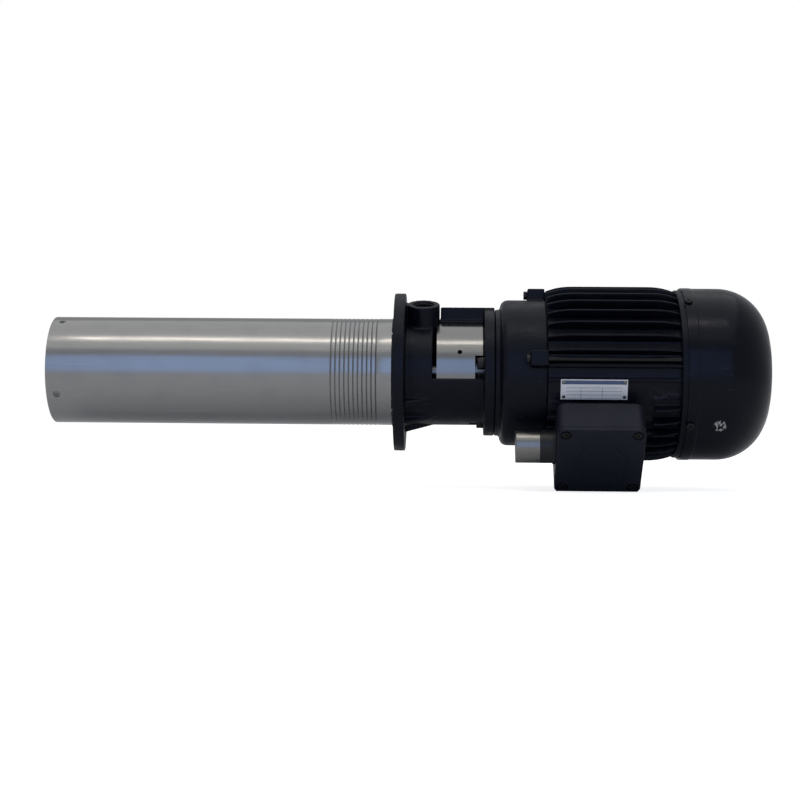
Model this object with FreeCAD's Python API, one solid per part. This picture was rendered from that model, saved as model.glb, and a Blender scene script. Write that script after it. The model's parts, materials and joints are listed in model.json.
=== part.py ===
"""Immersion coolant pump: a tank-top flange, a dip tube with a multistage stack, and a finned motor.

The pump stands upright, as it works. Z runs up the shaft and the origin is the centre of the
underside of the mounting flange. The dip tube hangs below it, the motor stands above it and the
terminal box faces -Y. Angles are in degrees from +X, counter-clockwise seen from above.
"""
import FreeCAD, Part
import math
import os

V = FreeCAD.Vector
UP = V(0, 0, 1)

# Fits and clearances
seat_gap = 0.1            # radial gap of parts that are fitted and do not turn
run_gap = 0.05            # radial running clearance of the shafts
free_gap = 0.4            # gap between parts that only pass close by
screw_gap = 0.25          # radial clearance of a screw in its hole
thread_gap = 0.05         # radial gap of a screw in its thread
head_room = 1.0           # room round a sunk screw head or a shaft in a wall
over = 1.0                # how far a cutting shape runs past the face that it cuts
sink = 1.0                # how far a joined shape reaches into the piece that carries it

# Flats that stand for roundness, to keep the assembly light
rod_sides = 8             # screws and other small rods
inner_sides = 16          # bearings, bushes and other small rings
wide_sides = 24           # large bores and rings inside the casings
skin_sides = 48           # outer skins of the castings and the fan cover
bend_steps = 4            # flats along a rounded corner

# Dip tube
immersion = 390.0
tube_r = 60.75
tube_wall = 3.0
tube_insert = 7.0         # how far the tube enters the flange
tube_screw_r = 3.5
tube_screw_rise = 12.0    # from the open end
tube_screw_angle = 252.5
tube_screw_count = 4
tube_screw_len = 14.0
tube_screw_proud = 0.3

# Mounting flange, to the 180 mm tank-top size
flange_r = 90.0
flange_t = 12.5
tank_bolt_pcd = 160.0
tank_bolt_hole_r = 4.5
tank_bolt_count = 4
tank_bolt_angle = 203.0
collar_r = 62.4
collar_h = 3.0

# Pump head and lantern
head_r = 60.0
head_bore_r = 48.0
partition_z = 35.0
partition_t = 8.0
window_z = 43.5
window_top_z = 101.5
window_angle = 190.5
window_span = 84.0
lantern_flange_r = 72.0
lantern_flange_t = 12.0
rib_angle = 134.5
rib_w = 18.0
rib_r = 74.0
rib_z = 52.0
gusset_count = 3
gusset_w = 7.0
gusset_reach = 68.0
gusset_h = 30.0
gusset_toe_h = 2.0
gusset_top = 0.5
gusset_angle = 257.5
gusset_step = 27.0

# Discharge port, G 3/4
port_angle = 152.5
port_z = 32.5
port_boss_r = 18.6
port_bore_r = 12.06
port_face_r = 80.5
port_depth = 34.0         # reaches into the chamber

# Coupling guard
guard_r = 57.5
guard_t = 1.2
guard_z = 48.2
guard_top_z = 99.8
guard_hole_r = 2.6
guard_hole_z = 74.0
guard_hole_angle = 202.0
guard_notch_z = 91.0
guard_notch_span = 26.0

# Screws between lantern and motor
face_bolt_pcd = 115.0
face_bolt_r = 4.0
face_bolt_head_r = 6.5
face_bolt_head_h = 8.0
face_bolt_grip = 8.0
face_bolt_count = 4
lug_angle = 215.5         # shared by the face screws and the through bolts

# Front endshield
bell_neck_h = 6.0
bell_r = 83.0
bell_wall = 6.5
bell_top_z = 171.0
bell_front_t = 9.0
bell_corner_r = 8.5
spigot_r = 47.5
spigot_h = 3.5
lug_r = 97.0
lug_w = 17.0
lug_h = 20.0
through_bolt_r = 3.0
through_bolt_count = 4
through_bolt_circle_r = 90.5
through_bolt_head_h = 4.0
through_bolt_af = 8.6

# Stator frame
frame_len = 145.0
frame_bore_r = 80.0
frame_root_r = 86.0
fin_count = 36
fin_tip_r = 99.0
fin_end_r = 93.5
fin_w = 2.6
box_side_angle = 270.0
fin_crown_share = 1 / 3   # of the barrel's length, at each end
plate_pad_angle = 244.5
plate_pad_h = 85.0
plate_pad_reach = 60.0
plate_pad_len = 116.0
neck_half_w = 31.0
neck_len = 84.0
neck_wall = 9.0
neck_rise = 3.0           # how far the box's seat lies below the fin tips

# Rear endshield
rear_rim_h = 14.0
rear_rim_wall = 6.0
rear_web_t = 6.0
rear_hub_r = 32.0
rear_hub_floor = 3.0
lip_h = 3.0               # both endshields enter the frame by this
lip_wall = 3.5

# Fan cover
cover_r = 97.4
cover_sheet = 1.6
cover_overlap = 7.0
cover_bead_h = 11.0
cover_bead = 0.5
cover_top_z = 421.5
cover_corner_r = 57.0
cover_bend = 80.0         # how far the corner turns before the flat end's cone
grille_rim_r = 41.0
grille_slot_count = 12
grille_slot_w = 5.0
grille_in_r = 15.0
grille_out_r = 37.0
cover_screw_r = 2.5
cover_screw_count = 4
cover_screw_head_r = 4.5
cover_screw_head_h = 2.6
cover_screw_len = 6.0

# Fan
fan_r = 82.0
fan_blade_count = 7
fan_blade_t = 2.5
fan_blade_h = 26.0
fan_hub_r = 19.0
fan_hub_h = 30.0
fan_disc_t = 3.0
fan_disc_r = 48.0
fan_gap = 8.0             # from the rear endshield to the fan
fan_step_r = 60.0         # the blades are lower outside this
fan_step_share = 0.6
fan_shaft_end = 4.0

# Motor shaft and bearings
motor_shaft_r = 14.0
front_seat_r = 15.0
core_seat_r = 17.0
rear_seat_r = 12.5
fan_seat_r = 11.0
front_bearing_r = 31.0
front_bearing_w = 16.0
front_race_r = 21.5
rear_bearing_r = 26.0
rear_bearing_w = 15.0
rear_race_r = 18.0
shield_gap = 0.3

# Stator and rotor
core_len = 100.0
air_gap = 0.5
core_bore_r = 50.5
winding_r = 73.0
winding_in_r = 55.0
winding_front_h = 18.0
winding_rear_h = 14.0
core_front_gap = 20.0     # from the bell's joint to the core

# Coupling
coupling_r = 24.0
coupling_len = 50.0
coupling_screw_af = 8.0
coupling_screw_h = 5.0
shaft_end_gap = 2.0

# Pump shaft and stage stack
pump_shaft_r = 10.0
seal_r = 17.0
bush_r = 14.0
bush_wall = 5.0
suction_rim_h = 12.0
suction_rim_r = 46.0
suction_web_t = 5.0
suction_recess = 6.0
suction_slot_count = 10
suction_slot_w = 6.0
suction_slot_in_r = 22.0
suction_slot_out_r = 42.0
stage_count = 3
stage_pitch = 34.0
stage_r = 47.0
stage_wall = 3.0
stage_floor = 4.0
stage_eye_r = 20.0
impeller_r = 40.0
impeller_disc_t = 3.0
impeller_hub_r = 15.0
impeller_rise = 18.0      # disc above the stage floor
impeller_gap = 1.0        # hub above the stage floor
vane_count = 5
vane_t = 3.0
vane_h = 11.0
vane_sweep = 35.0
stack_cover_t = 10.0
stack_port_count = 6
stack_port_w = 9.0
stack_port_rim = 8.0
tie_rod_r = 2.5
tie_rod_count = 4
tie_rod_nut_af = 8.0
tie_rod_nut_h = 4.0
tie_rod_depth = 10.0

# Terminal box
box_len = 95.0
box_w = 101.0
box_gasket_t = 1.0
box_h = 35.0
box_wall = 4.0
box_floor = 4.0
box_corner_r = 9.0
lid_t = 4.5
lid_pocket_r = 6.5
lid_pocket_inset = 9.0
lid_screw_r = 2.5
lid_screw_head_r = 4.2
lid_screw_head_h = 2.6
lid_screw_sunk = 0.3
lid_screw_len = 12.0
lid_hollow = 2.5
lid_post_half = 8.0
box_screw_r = 2.5
box_screw_head_h = 3.0
box_screw_af = 8.0
box_screw_depth = 10.0
box_gap = 2.0             # between the box and the fins cut back for it
box_screw_spread = 46.0
terminal_block_w = 44.0
terminal_block_h = 10.0
terminal_pitch = 14.0
terminal_row_half = 6.0
terminal_stud_af = 8.0
terminal_stud_h = 9.0
box_front_gap = 8.0       # from the bell's joint to the box

# Cable gland on the flange side of the box
gland_r = 18.3
gland_bore_r = 8.5
gland_sleeve_len = 26.5
gland_nut_len = 14.0
gland_flare_len = 3.0
gland_flare_r = 19.5
gland_thread_r = 10.5
gland_thread_end = 4.0    # behind the box's wall

# Nameplate
plate_w = 73.0
plate_h = 23.0
plate_t = 0.8
plate_z = 221.0
plate_rise = 11.0         # centre above the middle of its pad
rivet_r = 1.3
rivet_head_r = 2.1
rivet_head_h = 0.8
rivet_inset = 3.2
rivet_len = 4.0
rivet_hole_len = 4.5

# Levels and radii that follow from the sizes above
tube_in_r = tube_r - tube_wall
tie_rod_angle = tube_screw_angle + 180.0 / tube_screw_count
cover_screw_angle = lug_angle + 180.0 / cover_screw_count
rear_rim_r = cover_r - cover_sheet - free_gap
box_seat_h = fin_tip_r - neck_rise
tube_low_z = -immersion
tie_rod_circle_r = (stage_r + tube_in_r) / 2
bush_len = suction_rim_h + stage_floor
upper_bore_r = spigot_r + seat_gap
partition_top_z = partition_z + partition_t
lantern_top_z = window_top_z + lantern_flange_t
bell_low_z = lantern_top_z + bell_neck_h
frame_z = bell_top_z
frame_top_z = frame_z + frame_len
rear_rim_top_z = frame_top_z + rear_rim_h
cover_z = rear_rim_top_z - cover_overlap
cover_screw_z = cover_z + cover_overlap / 2
front_bearing_z = lantern_top_z + bell_front_t
front_bearing_top_z = front_bearing_z + front_bearing_w
core_z = frame_z + core_front_gap
core_top_z = core_z + core_len
rear_bearing_z = frame_top_z + rear_hub_floor
through_bolt_end_z = frame_top_z + rear_web_t / 2
rear_bearing_top_z = rear_bearing_z + rear_bearing_w
fan_z = rear_rim_top_z + fan_gap
shaft_meet_z = (partition_top_z + lantern_top_z) / 2
coupling_z = shaft_meet_z - coupling_len / 2
suction_low_z = tube_low_z + suction_recess
stack_z = suction_low_z + suction_rim_h
stack_top_z = stack_z + stage_count * stage_pitch
tube_screw_z = tube_low_z + tube_screw_rise
face_bolt_circle_r = face_bolt_pcd / 2
box_z = frame_z + box_front_gap
box_mid_z = box_z + box_len / 2
box_low_h = box_seat_h + box_gasket_t
box_top_h = box_low_h + box_h
lid_low_h = box_top_h + box_gasket_t
gland_h = box_low_h + box_h / 2
lid_top_h = lid_low_h + lid_t
gland_seat_z = box_z - gland_flare_len
gland_low_z = gland_seat_z - gland_nut_len


def polar(radius, angle, z=0.0):
    """Point at a radius, an angle and a level."""
    a = math.radians(angle)
    return V(radius * math.cos(a), radius * math.sin(a), z)


def turned(shape, angle, centre=V(0, 0, 0), axis=UP):
    """A copy of a shape turned about an axis through a point."""
    copy = shape.copy()
    copy.rotate(centre, axis, angle)
    return copy


def ring_of(shape, count, first_angle=0.0):
    """Copies of a shape, drawn on +X, at equal steps round the shaft."""
    return [turned(shape, first_angle + 360.0 * k / count) for k in range(count)]


def revolved(points, sides=inner_sides):
    """Solid of revolution of a closed (radius, level) outline, with flats round the shaft."""
    faces = []
    closed = points + points[:1]
    for k in range(sides):
        near, far = 360.0 * k / sides, 360.0 * (k + 1) / sides
        for (r, z), (r2, z2) in zip(closed, closed[1:]):
            if r == r2 == 0:
                continue
            corners = [polar(r, near, z), polar(r2, near, z2)]
            corners += [polar(r2, far, z2)] if r2 else []
            corners += [polar(r, far, z)] if r else []
            faces.append(Part.Face(Part.makePolygon(corners + corners[:1])))
    return Part.Solid(Part.Shell(faces))


def flat_ring(outer, inner, z, height, sides=inner_sides):
    """Ring with flats, whose bore clears the inner radius."""
    clear = clear_r(inner, sides)
    return revolved([(clear, z), (outer, z), (outer, z + height), (clear, z + height)], sides)


def clear_r(radius, sides=inner_sides):
    """Corner radius of a ring of flats whose flats lie at a radius."""
    return radius / math.cos(math.pi / sides)


def flat_bore(radius, z, height, sides=inner_sides):
    """Prism that cuts a bore with flats, clear of a round radius."""
    corners = [polar(clear_r(radius, sides), 360.0 * k / sides, z) for k in range(sides)]
    return Part.Face(Part.makePolygon(corners + corners[:1])).extrude(V(0, 0, height))


def bend_points(radius, level, corner_r, bend, rise=1):
    """Outline points of a rounded corner that turns inwards, ending at a level above or below."""
    points = []
    for k in range(bend_steps + 1):
        a = math.radians(bend * k / bend_steps)
        points.append((radius - corner_r * (1 - math.cos(a)), level - rise * corner_r * (1 - math.sin(a))))
    return points


def disc(radius, z, height):
    """Plain cylinder on the shaft's axis."""
    return Part.makeCylinder(radius, height, V(0, 0, z), UP)


def tube(outer, inner, z, height):
    """Plain ring on the shaft's axis."""
    return disc(outer, z, height).cut(disc(inner, z, height))


def block(x, y, z, x2, y2, z2):
    """Box between two corners."""
    return Part.makeBox(x2 - x, y2 - y, z2 - z, V(x, y, z))


def radial_bar(inner, outer, width, z, height):
    """Straight bar on +X, from one radius to another."""
    return block(inner, -width / 2, z, outer, width / 2, z + height)


def rod(radius, height, base, axis=UP, sides=rod_sides):
    """Small rod with flats, standing on a base point along an axis."""
    corners = [polar(radius, 360.0 * k / sides) for k in range(sides)]
    prism = Part.Face(Part.makePolygon(corners + corners[:1])).extrude(V(0, 0, height))
    prism.Placement = FreeCAD.Placement(base, FreeCAD.Rotation(UP, axis))
    return prism


def upright_rod(circle_r, radius, z, height):
    """Small rod parallel to the shaft, on +X."""
    return rod(radius, height, V(circle_r, 0, z))


def radial_rod(radius, inner, outer, z):
    """Small rod along +X from one distance to another."""
    return rod(radius, outer - inner, V(inner, 0, z), V(1, 0, 0))


def radial_cylinder(radius, inner, outer, z):
    """True cylinder along +X from one distance to another."""
    return Part.makeCylinder(radius, outer - inner, V(inner, 0, z), V(1, 0, 0))


def hex_prism(across_flats, height, base, axis=UP):
    """Hexagonal prism standing on a base point along an axis."""
    return rod(across_flats / math.sqrt(3), height, base, axis, 6)


def sector(outer, inner, middle, span, z, height):
    """Part of a ring, made of flats, that covers a span of angle about a middle angle."""
    steps = math.ceil(span * skin_sides / 360.0)
    angles = [middle + span * (k / steps - 0.5) for k in range(steps + 1)]
    corners = [polar(outer, a, z) for a in angles] + [polar(inner, a, z) for a in angles[::-1]]
    return Part.Face(Part.makePolygon(corners + corners[:1])).extrude(V(0, 0, height))


def rounded_slab(half_x, low_z, high_z, y, depth, radius):
    """Slab with rounded corners seen along Y, from level y towards -Y."""
    slab = block(-half_x, y - depth, low_z, half_x, y, high_z)
    upright = [e for e in slab.Edges if abs(e.tangentAt(e.FirstParameter).y) > 0.9]
    return slab.makeFillet(radius, upright)


def one_solid(shape):
    """The single solid of a result, with leftover seams removed."""
    clean = shape.removeSplitter()
    return clean.Solids[0] if len(clean.Solids) == 1 else clean


def dip_tube():
    """Stainless tube with four screw holes near its open end."""
    pipe = tube(tube_r, tube_in_r, tube_low_z, immersion + tube_insert)
    hole = radial_rod(tube_screw_r + screw_gap, tube_in_r - over, tube_r + over, tube_screw_z)
    return pipe.cut(Part.makeCompound(ring_of(hole, tube_screw_count, tube_screw_angle)))


def tube_screws():
    """Four button-head screws that hold the tube on the suction cover."""
    end_r = tube_r + tube_screw_proud
    shank = radial_rod(tube_screw_r, end_r - tube_screw_len, end_r, tube_screw_z)
    return ring_of(shank, tube_screw_count, tube_screw_angle)


def suction_cover():
    """Slotted inlet plate with a thick rim and a hub for the lower bush."""
    rim_r = tube_in_r - seat_gap
    hub_r = bush_r + bush_wall
    web_z = stack_z - suction_web_t
    plate = revolved([
        (0, suction_low_z), (hub_r, suction_low_z), (hub_r, web_z), (suction_rim_r, web_z),
        (suction_rim_r, suction_low_z), (rim_r, suction_low_z), (rim_r, stack_z), (0, stack_z),
    ], wide_sides)
    slot_h = suction_web_t + 2 * over
    slot = radial_bar(suction_slot_in_r, suction_slot_out_r, suction_slot_w, web_z - over, slot_h)
    screw = radial_rod(tube_screw_r + screw_gap, suction_rim_r - over, rim_r + over, tube_screw_z)
    bolt_h = suction_rim_h + 2 * over
    bolt = upright_rod(tie_rod_circle_r, tie_rod_r + screw_gap, suction_low_z - over, bolt_h)
    cuts = [flat_bore(bush_r, suction_low_z - over, suction_rim_h + 2 * over)]
    cuts += ring_of(slot, suction_slot_count) + ring_of(screw, tube_screw_count, tube_screw_angle)
    cuts += ring_of(bolt, tie_rod_count, tie_rod_angle)
    return one_solid(plate.cut(Part.makeCompound(cuts)))


def stage_casings():
    """Stacked cups: each has a floor with the suction eye and a wall round its impeller."""
    cups = []
    inner = stage_r - stage_wall
    for k in range(stage_count):
        z = stack_z + k * stage_pitch
        top = z + stage_pitch
        cups.append(revolved([
            (stage_eye_r, z), (stage_r, z), (stage_r, top), (inner, top),
            (inner, z + stage_floor), (stage_eye_r, z + stage_floor),
        ]))
    return cups


def stack_cover():
    """Top of the stage stack, with outlet ports and the upper bush's seat."""
    plate = flat_ring(stage_r, bush_r, stack_top_z, stack_cover_t)
    port = radial_bar(bush_r + stack_port_rim, stage_r - stack_port_rim, stack_port_w,
                      stack_top_z - over, stack_cover_t + 2 * over)
    return plate.cut(Part.makeCompound(ring_of(port, stack_port_count)))


def impellers():
    """Semi-open impellers: a disc, a hub and backward-swept vanes below it."""
    wheels = []
    bore_r = clear_r(pump_shaft_r + run_gap)
    for k in range(stage_count):
        disc_z = stack_z + k * stage_pitch + impeller_rise
        low = disc_z - impeller_rise + stage_floor + impeller_gap
        next_low = low + stage_pitch
        top = next_low if k < stage_count - 1 else next_low - stage_floor - 2 * impeller_gap
        wheel = revolved([
            (bore_r, low), (impeller_hub_r, low), (impeller_hub_r, disc_z), (impeller_r, disc_z),
            (impeller_r, disc_z + impeller_disc_t), (impeller_hub_r, disc_z + impeller_disc_t),
            (impeller_hub_r, top), (bore_r, top),
        ])
        vanes = ring_of(impeller_vane(disc_z - vane_h), vane_count)
        wheels.append(one_solid(wheel.fuse(vanes)))
    return wheels


def impeller_vane(z):
    """One vane, swept back from the hub to the rim in two straight lengths."""
    start = polar(impeller_hub_r - sink, 0, z)
    bend = polar((impeller_hub_r + impeller_r) / 2, -vane_sweep / 3, z)
    end = polar(impeller_r - impeller_disc_t, -vane_sweep, z)
    offset = V(0, vane_t / 2, 0)
    corners = [start - offset, bend - offset, end - offset, end + offset, bend + offset, start + offset]
    return Part.Face(Part.makePolygon(corners + corners[:1])).extrude(V(0, 0, vane_h + impeller_disc_t / 2))


def shaft_bushes():
    """Plain bushes in the suction cover and in the stack cover."""
    lower = flat_ring(bush_r - seat_gap, pump_shaft_r + run_gap / 2, suction_low_z, bush_len)
    upper = flat_ring(bush_r - seat_gap, pump_shaft_r + run_gap / 2, stack_top_z, stack_cover_t)
    return [lower, upper]


def tie_rods():
    """Four long rods that clamp the stage stack up to the pump head."""
    low = suction_low_z - tie_rod_nut_h
    bar = upright_rod(tie_rod_circle_r, tie_rod_r, low, tube_insert + tie_rod_depth - low)
    return ring_of(bar, tie_rod_count, tie_rod_angle)


def tie_rod_nuts():
    """Nuts under the suction cover, one on each rod."""
    low = suction_low_z - tie_rod_nut_h
    nut = hex_prism(tie_rod_nut_af, tie_rod_nut_h, V(tie_rod_circle_r, 0, low))
    nut = nut.cut(upright_rod(tie_rod_circle_r, tie_rod_r + thread_gap, low, tie_rod_nut_h))
    return ring_of(nut, tie_rod_count, tie_rod_angle)


def pump_shaft():
    """Shaft from the lower bush to the coupling."""
    return disc(pump_shaft_r, suction_low_z, shaft_meet_z - shaft_end_gap / 2 - suction_low_z)


def pump_head():
    """Cast head: mounting flange, pressure chamber, discharge boss and open lantern."""
    head = revolved([
        (0, -collar_h), (collar_r, -collar_h), (collar_r, 0), (flange_r, 0), (flange_r, flange_t),
        (head_r, flange_t), (head_r, window_top_z), (lantern_flange_r, window_top_z),
        (lantern_flange_r, lantern_top_z), (0, lantern_top_z),
    ], skin_sides)
    rib = radial_bar((head_bore_r + head_r) / 2, rib_r, rib_w, rib_z, lantern_top_z - rib_z)
    boss = radial_cylinder(port_boss_r, head_bore_r, port_face_r, port_z)
    head = head.fuse([turned(rib, rib_angle), turned(boss, port_angle)] + head_gussets())
    return one_solid(head.cut(Part.makeCompound(head_cuts())))


def head_cuts():
    """What is cut out of the head: chambers, windows, the port's bore and the screw holes."""
    bores = [
        flat_bore(tube_r + seat_gap, -collar_h - over, tube_insert + collar_h + over, wide_sides),
        flat_bore(head_bore_r, 0, partition_z, wide_sides),
        flat_bore(seal_r, 0, partition_top_z + over),
        flat_bore(upper_bore_r, partition_top_z, lantern_top_z - partition_top_z + over, wide_sides),
    ]
    window = sector(head_r + over, upper_bore_r - over, 0, window_span, window_z, window_top_z - window_z)
    kept_boss = turned(radial_cylinder(port_boss_r, upper_bore_r, port_face_r, port_z), port_angle)
    windows = [w.cut(kept_boss) for w in ring_of(window, 2, window_angle)]
    port = radial_cylinder(port_bore_r, port_face_r - port_depth, port_face_r + over, port_z)
    return bores + windows + [turned(port, port_angle)] + head_screw_holes()


def head_screw_holes():
    """Screw holes of the head, with room for the face screws' heads under the lantern's flange."""
    face_hole = upright_rod(face_bolt_circle_r, face_bolt_r + screw_gap, window_top_z - over,
                            lantern_flange_t + 2 * over)
    pocket_h = 2 * face_bolt_head_h
    pocket = upright_rod(face_bolt_circle_r, face_bolt_head_r + head_room, window_top_z - pocket_h, pocket_h)
    tank_hole = Part.makeCylinder(tank_bolt_hole_r, flange_t + 2 * over, V(tank_bolt_pcd / 2, 0, -over), UP)
    rod_hole = upright_rod(tie_rod_circle_r, tie_rod_r + screw_gap, tube_insert - over, tie_rod_depth + over)
    holes = ring_of(face_hole, face_bolt_count, lug_angle) + ring_of(pocket, face_bolt_count, lug_angle)
    holes += ring_of(tank_hole, tank_bolt_count, tank_bolt_angle)
    return holes + ring_of(rod_hole, tie_rod_count, tie_rod_angle)


def head_gussets():
    """Tapered ribs that stiffen the flange against the head."""
    inner, low, top = head_r - 2 * sink, flange_t - sink, flange_t + gusset_h
    corners = [
        V(inner, 0, low), V(gusset_reach, 0, low), V(gusset_reach, 0, flange_t + gusset_toe_h),
        V(head_r + gusset_top, 0, top), V(inner, 0, top),
    ]
    web = Part.Face(Part.makePolygon(corners + corners[:1])).extrude(V(0, gusset_w, 0))
    web.translate(V(0, -gusset_w / 2, 0))
    return [turned(web, gusset_angle + k * gusset_step) for k in range(gusset_count)]


def coupling_guards():
    """Two bent sheet guards that fill the lantern's windows."""
    edge_angle = math.degrees(free_gap / guard_r)
    span = window_span - 2 * edge_angle
    height = guard_top_z - guard_z
    inner = guard_r - guard_t
    sheet = sector(guard_r, inner, 0, span, guard_z, height)
    notch_middle = (span - guard_notch_span) / 2 + edge_angle
    notch_span = guard_notch_span + 2 * edge_angle
    notch = sector(guard_r + over, inner - over, notch_middle, notch_span, guard_notch_z, height)
    hole = radial_rod(guard_hole_r, inner - over, guard_r + over, guard_hole_z)
    sheet = sheet.cut(notch).cut(turned(hole, guard_hole_angle - window_angle))
    boss = turned(radial_cylinder(port_boss_r + free_gap, seal_r, port_face_r, port_z), port_angle)
    return [turned(sheet, window_angle).cut(boss), turned(sheet, window_angle + 180)]


def shaft_seal():
    """Cartridge seal in the partition, round the pump shaft."""
    return flat_ring(seal_r - seat_gap, pump_shaft_r + run_gap / 2, partition_z, partition_t)


def shaft_coupling():
    """Rigid muff that joins the pump shaft to the motor shaft."""
    low_r, high_r = clear_r(pump_shaft_r + run_gap / 2), clear_r(motor_shaft_r + run_gap / 2)
    top_z = coupling_z + coupling_len
    return revolved([
        (low_r, coupling_z), (coupling_r, coupling_z), (coupling_r, top_z), (high_r, top_z),
        (high_r, shaft_meet_z), (low_r, shaft_meet_z),
    ])


def coupling_screws():
    """Two grub screws in each half of the coupling."""
    screws = []
    for z in (coupling_z + coupling_len / 4, coupling_z + 3 * coupling_len / 4):
        screw = hex_prism(coupling_screw_af, coupling_screw_h, V(coupling_r, 0, z), V(1, 0, 0))
        screws += [turned(screw, window_angle), turned(screw, window_angle + 90)]
    return screws


def face_screws():
    """Four cap screws that hold the lantern to the motor's face."""
    head_z = window_top_z - face_bolt_head_h
    head = upright_rod(face_bolt_circle_r, face_bolt_head_r, head_z, face_bolt_head_h)
    shank = upright_rod(face_bolt_circle_r, face_bolt_r, window_top_z, lantern_flange_t + face_bolt_grip)
    return ring_of(head.fuse(shank), face_bolt_count, lug_angle)


def front_endshield():
    """Drive-end bell with the face spigot, the front bearing's seat and four bolt lugs."""
    spigot_z = lantern_top_z - spigot_h
    corner = bend_points(bell_r, bell_low_z, bell_corner_r, 90, -1)
    bell = revolved([
        (0, spigot_z), (spigot_r, spigot_z), (spigot_r, lantern_top_z),
        (lantern_flange_r, lantern_top_z), (lantern_flange_r, bell_low_z),
    ] + corner[::-1] + [(bell_r, bell_top_z), (0, bell_top_z)], skin_sides)
    wall_r = bell_r - bell_wall
    hollow_r = wall_r - sink
    lug = radial_bar(wall_r + sink, lug_r, lug_w, bell_top_z - lug_h, lug_h)
    lip_corner_r = clear_r(frame_bore_r - seat_gap, wide_sides)
    lip = flat_ring(lip_corner_r, hollow_r, bell_top_z - sink, lip_h + sink, wide_sides)
    bell = bell.fuse(ring_of(lug, through_bolt_count, lug_angle) + [lip])
    bolt_hole_z, bolt_hole_h = bell_top_z - lug_h - over, lug_h + 2 * over
    bolt_hole = upright_rod(through_bolt_circle_r, through_bolt_r + screw_gap, bolt_hole_z, bolt_hole_h)
    tap_h = face_bolt_grip + 2 * over
    tap = upright_rod(face_bolt_circle_r, face_bolt_r + screw_gap, lantern_top_z - over, tap_h)
    cuts = [
        flat_bore(hollow_r, front_bearing_top_z, bell_top_z + lip_h + over - front_bearing_top_z, wide_sides),
        flat_bore(front_bearing_r + seat_gap / 2, front_bearing_z, front_bearing_w + over),
        flat_bore(motor_shaft_r + head_room, spigot_z - over, bell_front_t + spigot_h + 2 * over),
    ]
    cuts += ring_of(bolt_hole, through_bolt_count, lug_angle) + ring_of(tap, face_bolt_count, lug_angle)
    return one_solid(bell.cut(Part.makeCompound(cuts)))


def stator_frame():
    """Cast barrel with crowned cooling fins, a flat nameplate pad and a neck for the box."""
    section = Part.Face(Part.makePolygon(fin_outline()))
    frame = section.extrude(V(0, 0, frame_len)).common(fin_crown())
    fins_h = gland_h - gland_flare_r - free_gap
    beside = box_w / 2 + box_gap
    under_box = block(-beside, -2 * gland_h, frame_z - over, beside, -fins_h, box_z + box_len + box_gap)
    frame = frame.cut(Part.makeCompound([under_box] + plate_pad_cuts()))
    low, high = box_mid_z - neck_len / 2, box_mid_z + neck_len / 2
    frame = frame.fuse(block(-neck_half_w, -box_seat_h, low, neck_half_w, -core_bore_r, high))
    cuts = [flat_bore(frame_bore_r, frame_z - over, frame_len + 2 * over, wide_sides)]
    cuts += [neck_window(-box_seat_h - over, -core_bore_r + over)]
    cuts += box_screw_rods(box_screw_r + screw_gap, box_seat_h - box_screw_depth - over, box_seat_h + over)
    cuts += rivet_rods(rivet_r + thread_gap, plate_pad_h - rivet_hole_len, plate_pad_h + over)
    return one_solid(frame.cut(Part.makeCompound(cuts)))


def fin_outline():
    """Outline of the barrel and its radial fins, seen along the shaft."""
    past_r = fin_tip_r + over
    half_root = math.degrees(fin_w / 2 / frame_root_r)
    half_tip = math.degrees(fin_w / 2 / fin_tip_r)
    points = []
    for k in range(fin_count):
        middle = box_side_angle + 360.0 * k / fin_count
        points.append(polar(frame_root_r, middle - half_root, frame_z))
        points.append(polar(past_r, middle - half_tip, frame_z))
        points.append(polar(past_r, middle + half_tip, frame_z))
        points.append(polar(frame_root_r, middle + half_root, frame_z))
    return points + points[:1]


def fin_crown():
    """Body that gives the fins their crowned tips, lower at both ends, with one flat to a fin."""
    end_r, tip_r = clear_r(fin_end_r, fin_count), clear_r(fin_tip_r, fin_count)
    slope = frame_len * fin_crown_share
    body = revolved([
        (0, frame_z), (end_r, frame_z), (tip_r, frame_z + slope), (tip_r, frame_top_z - slope),
        (end_r, frame_top_z), (0, frame_top_z),
    ], fin_count)
    return turned(body, box_side_angle + 180.0 / fin_count)


def plate_pad_cuts():
    """What is cut off the fins to leave the flat pad beside the box."""
    deep = 3 * plate_pad_reach
    low = frame_z - over
    wide = block(plate_pad_h, -plate_pad_reach, low, deep, plate_pad_reach, frame_z + plate_pad_len)
    narrow = block(plate_pad_h, -plate_pad_reach, low, deep, 0, frame_top_z + over)
    return [turned(wide, plate_pad_angle), turned(narrow, plate_pad_angle)]


def stator_core():
    """Laminated core, a plain ring in the frame's bore."""
    return flat_ring(clear_r(frame_bore_r - seat_gap, wide_sides), core_bore_r, core_z, core_len, wide_sides)


def end_windings():
    """The two coil overhangs."""
    front = flat_ring(winding_r, winding_in_r, core_z - winding_front_h, winding_front_h)
    rear = flat_ring(winding_r, winding_in_r, core_top_z, winding_rear_h)
    return [front, rear]


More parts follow.
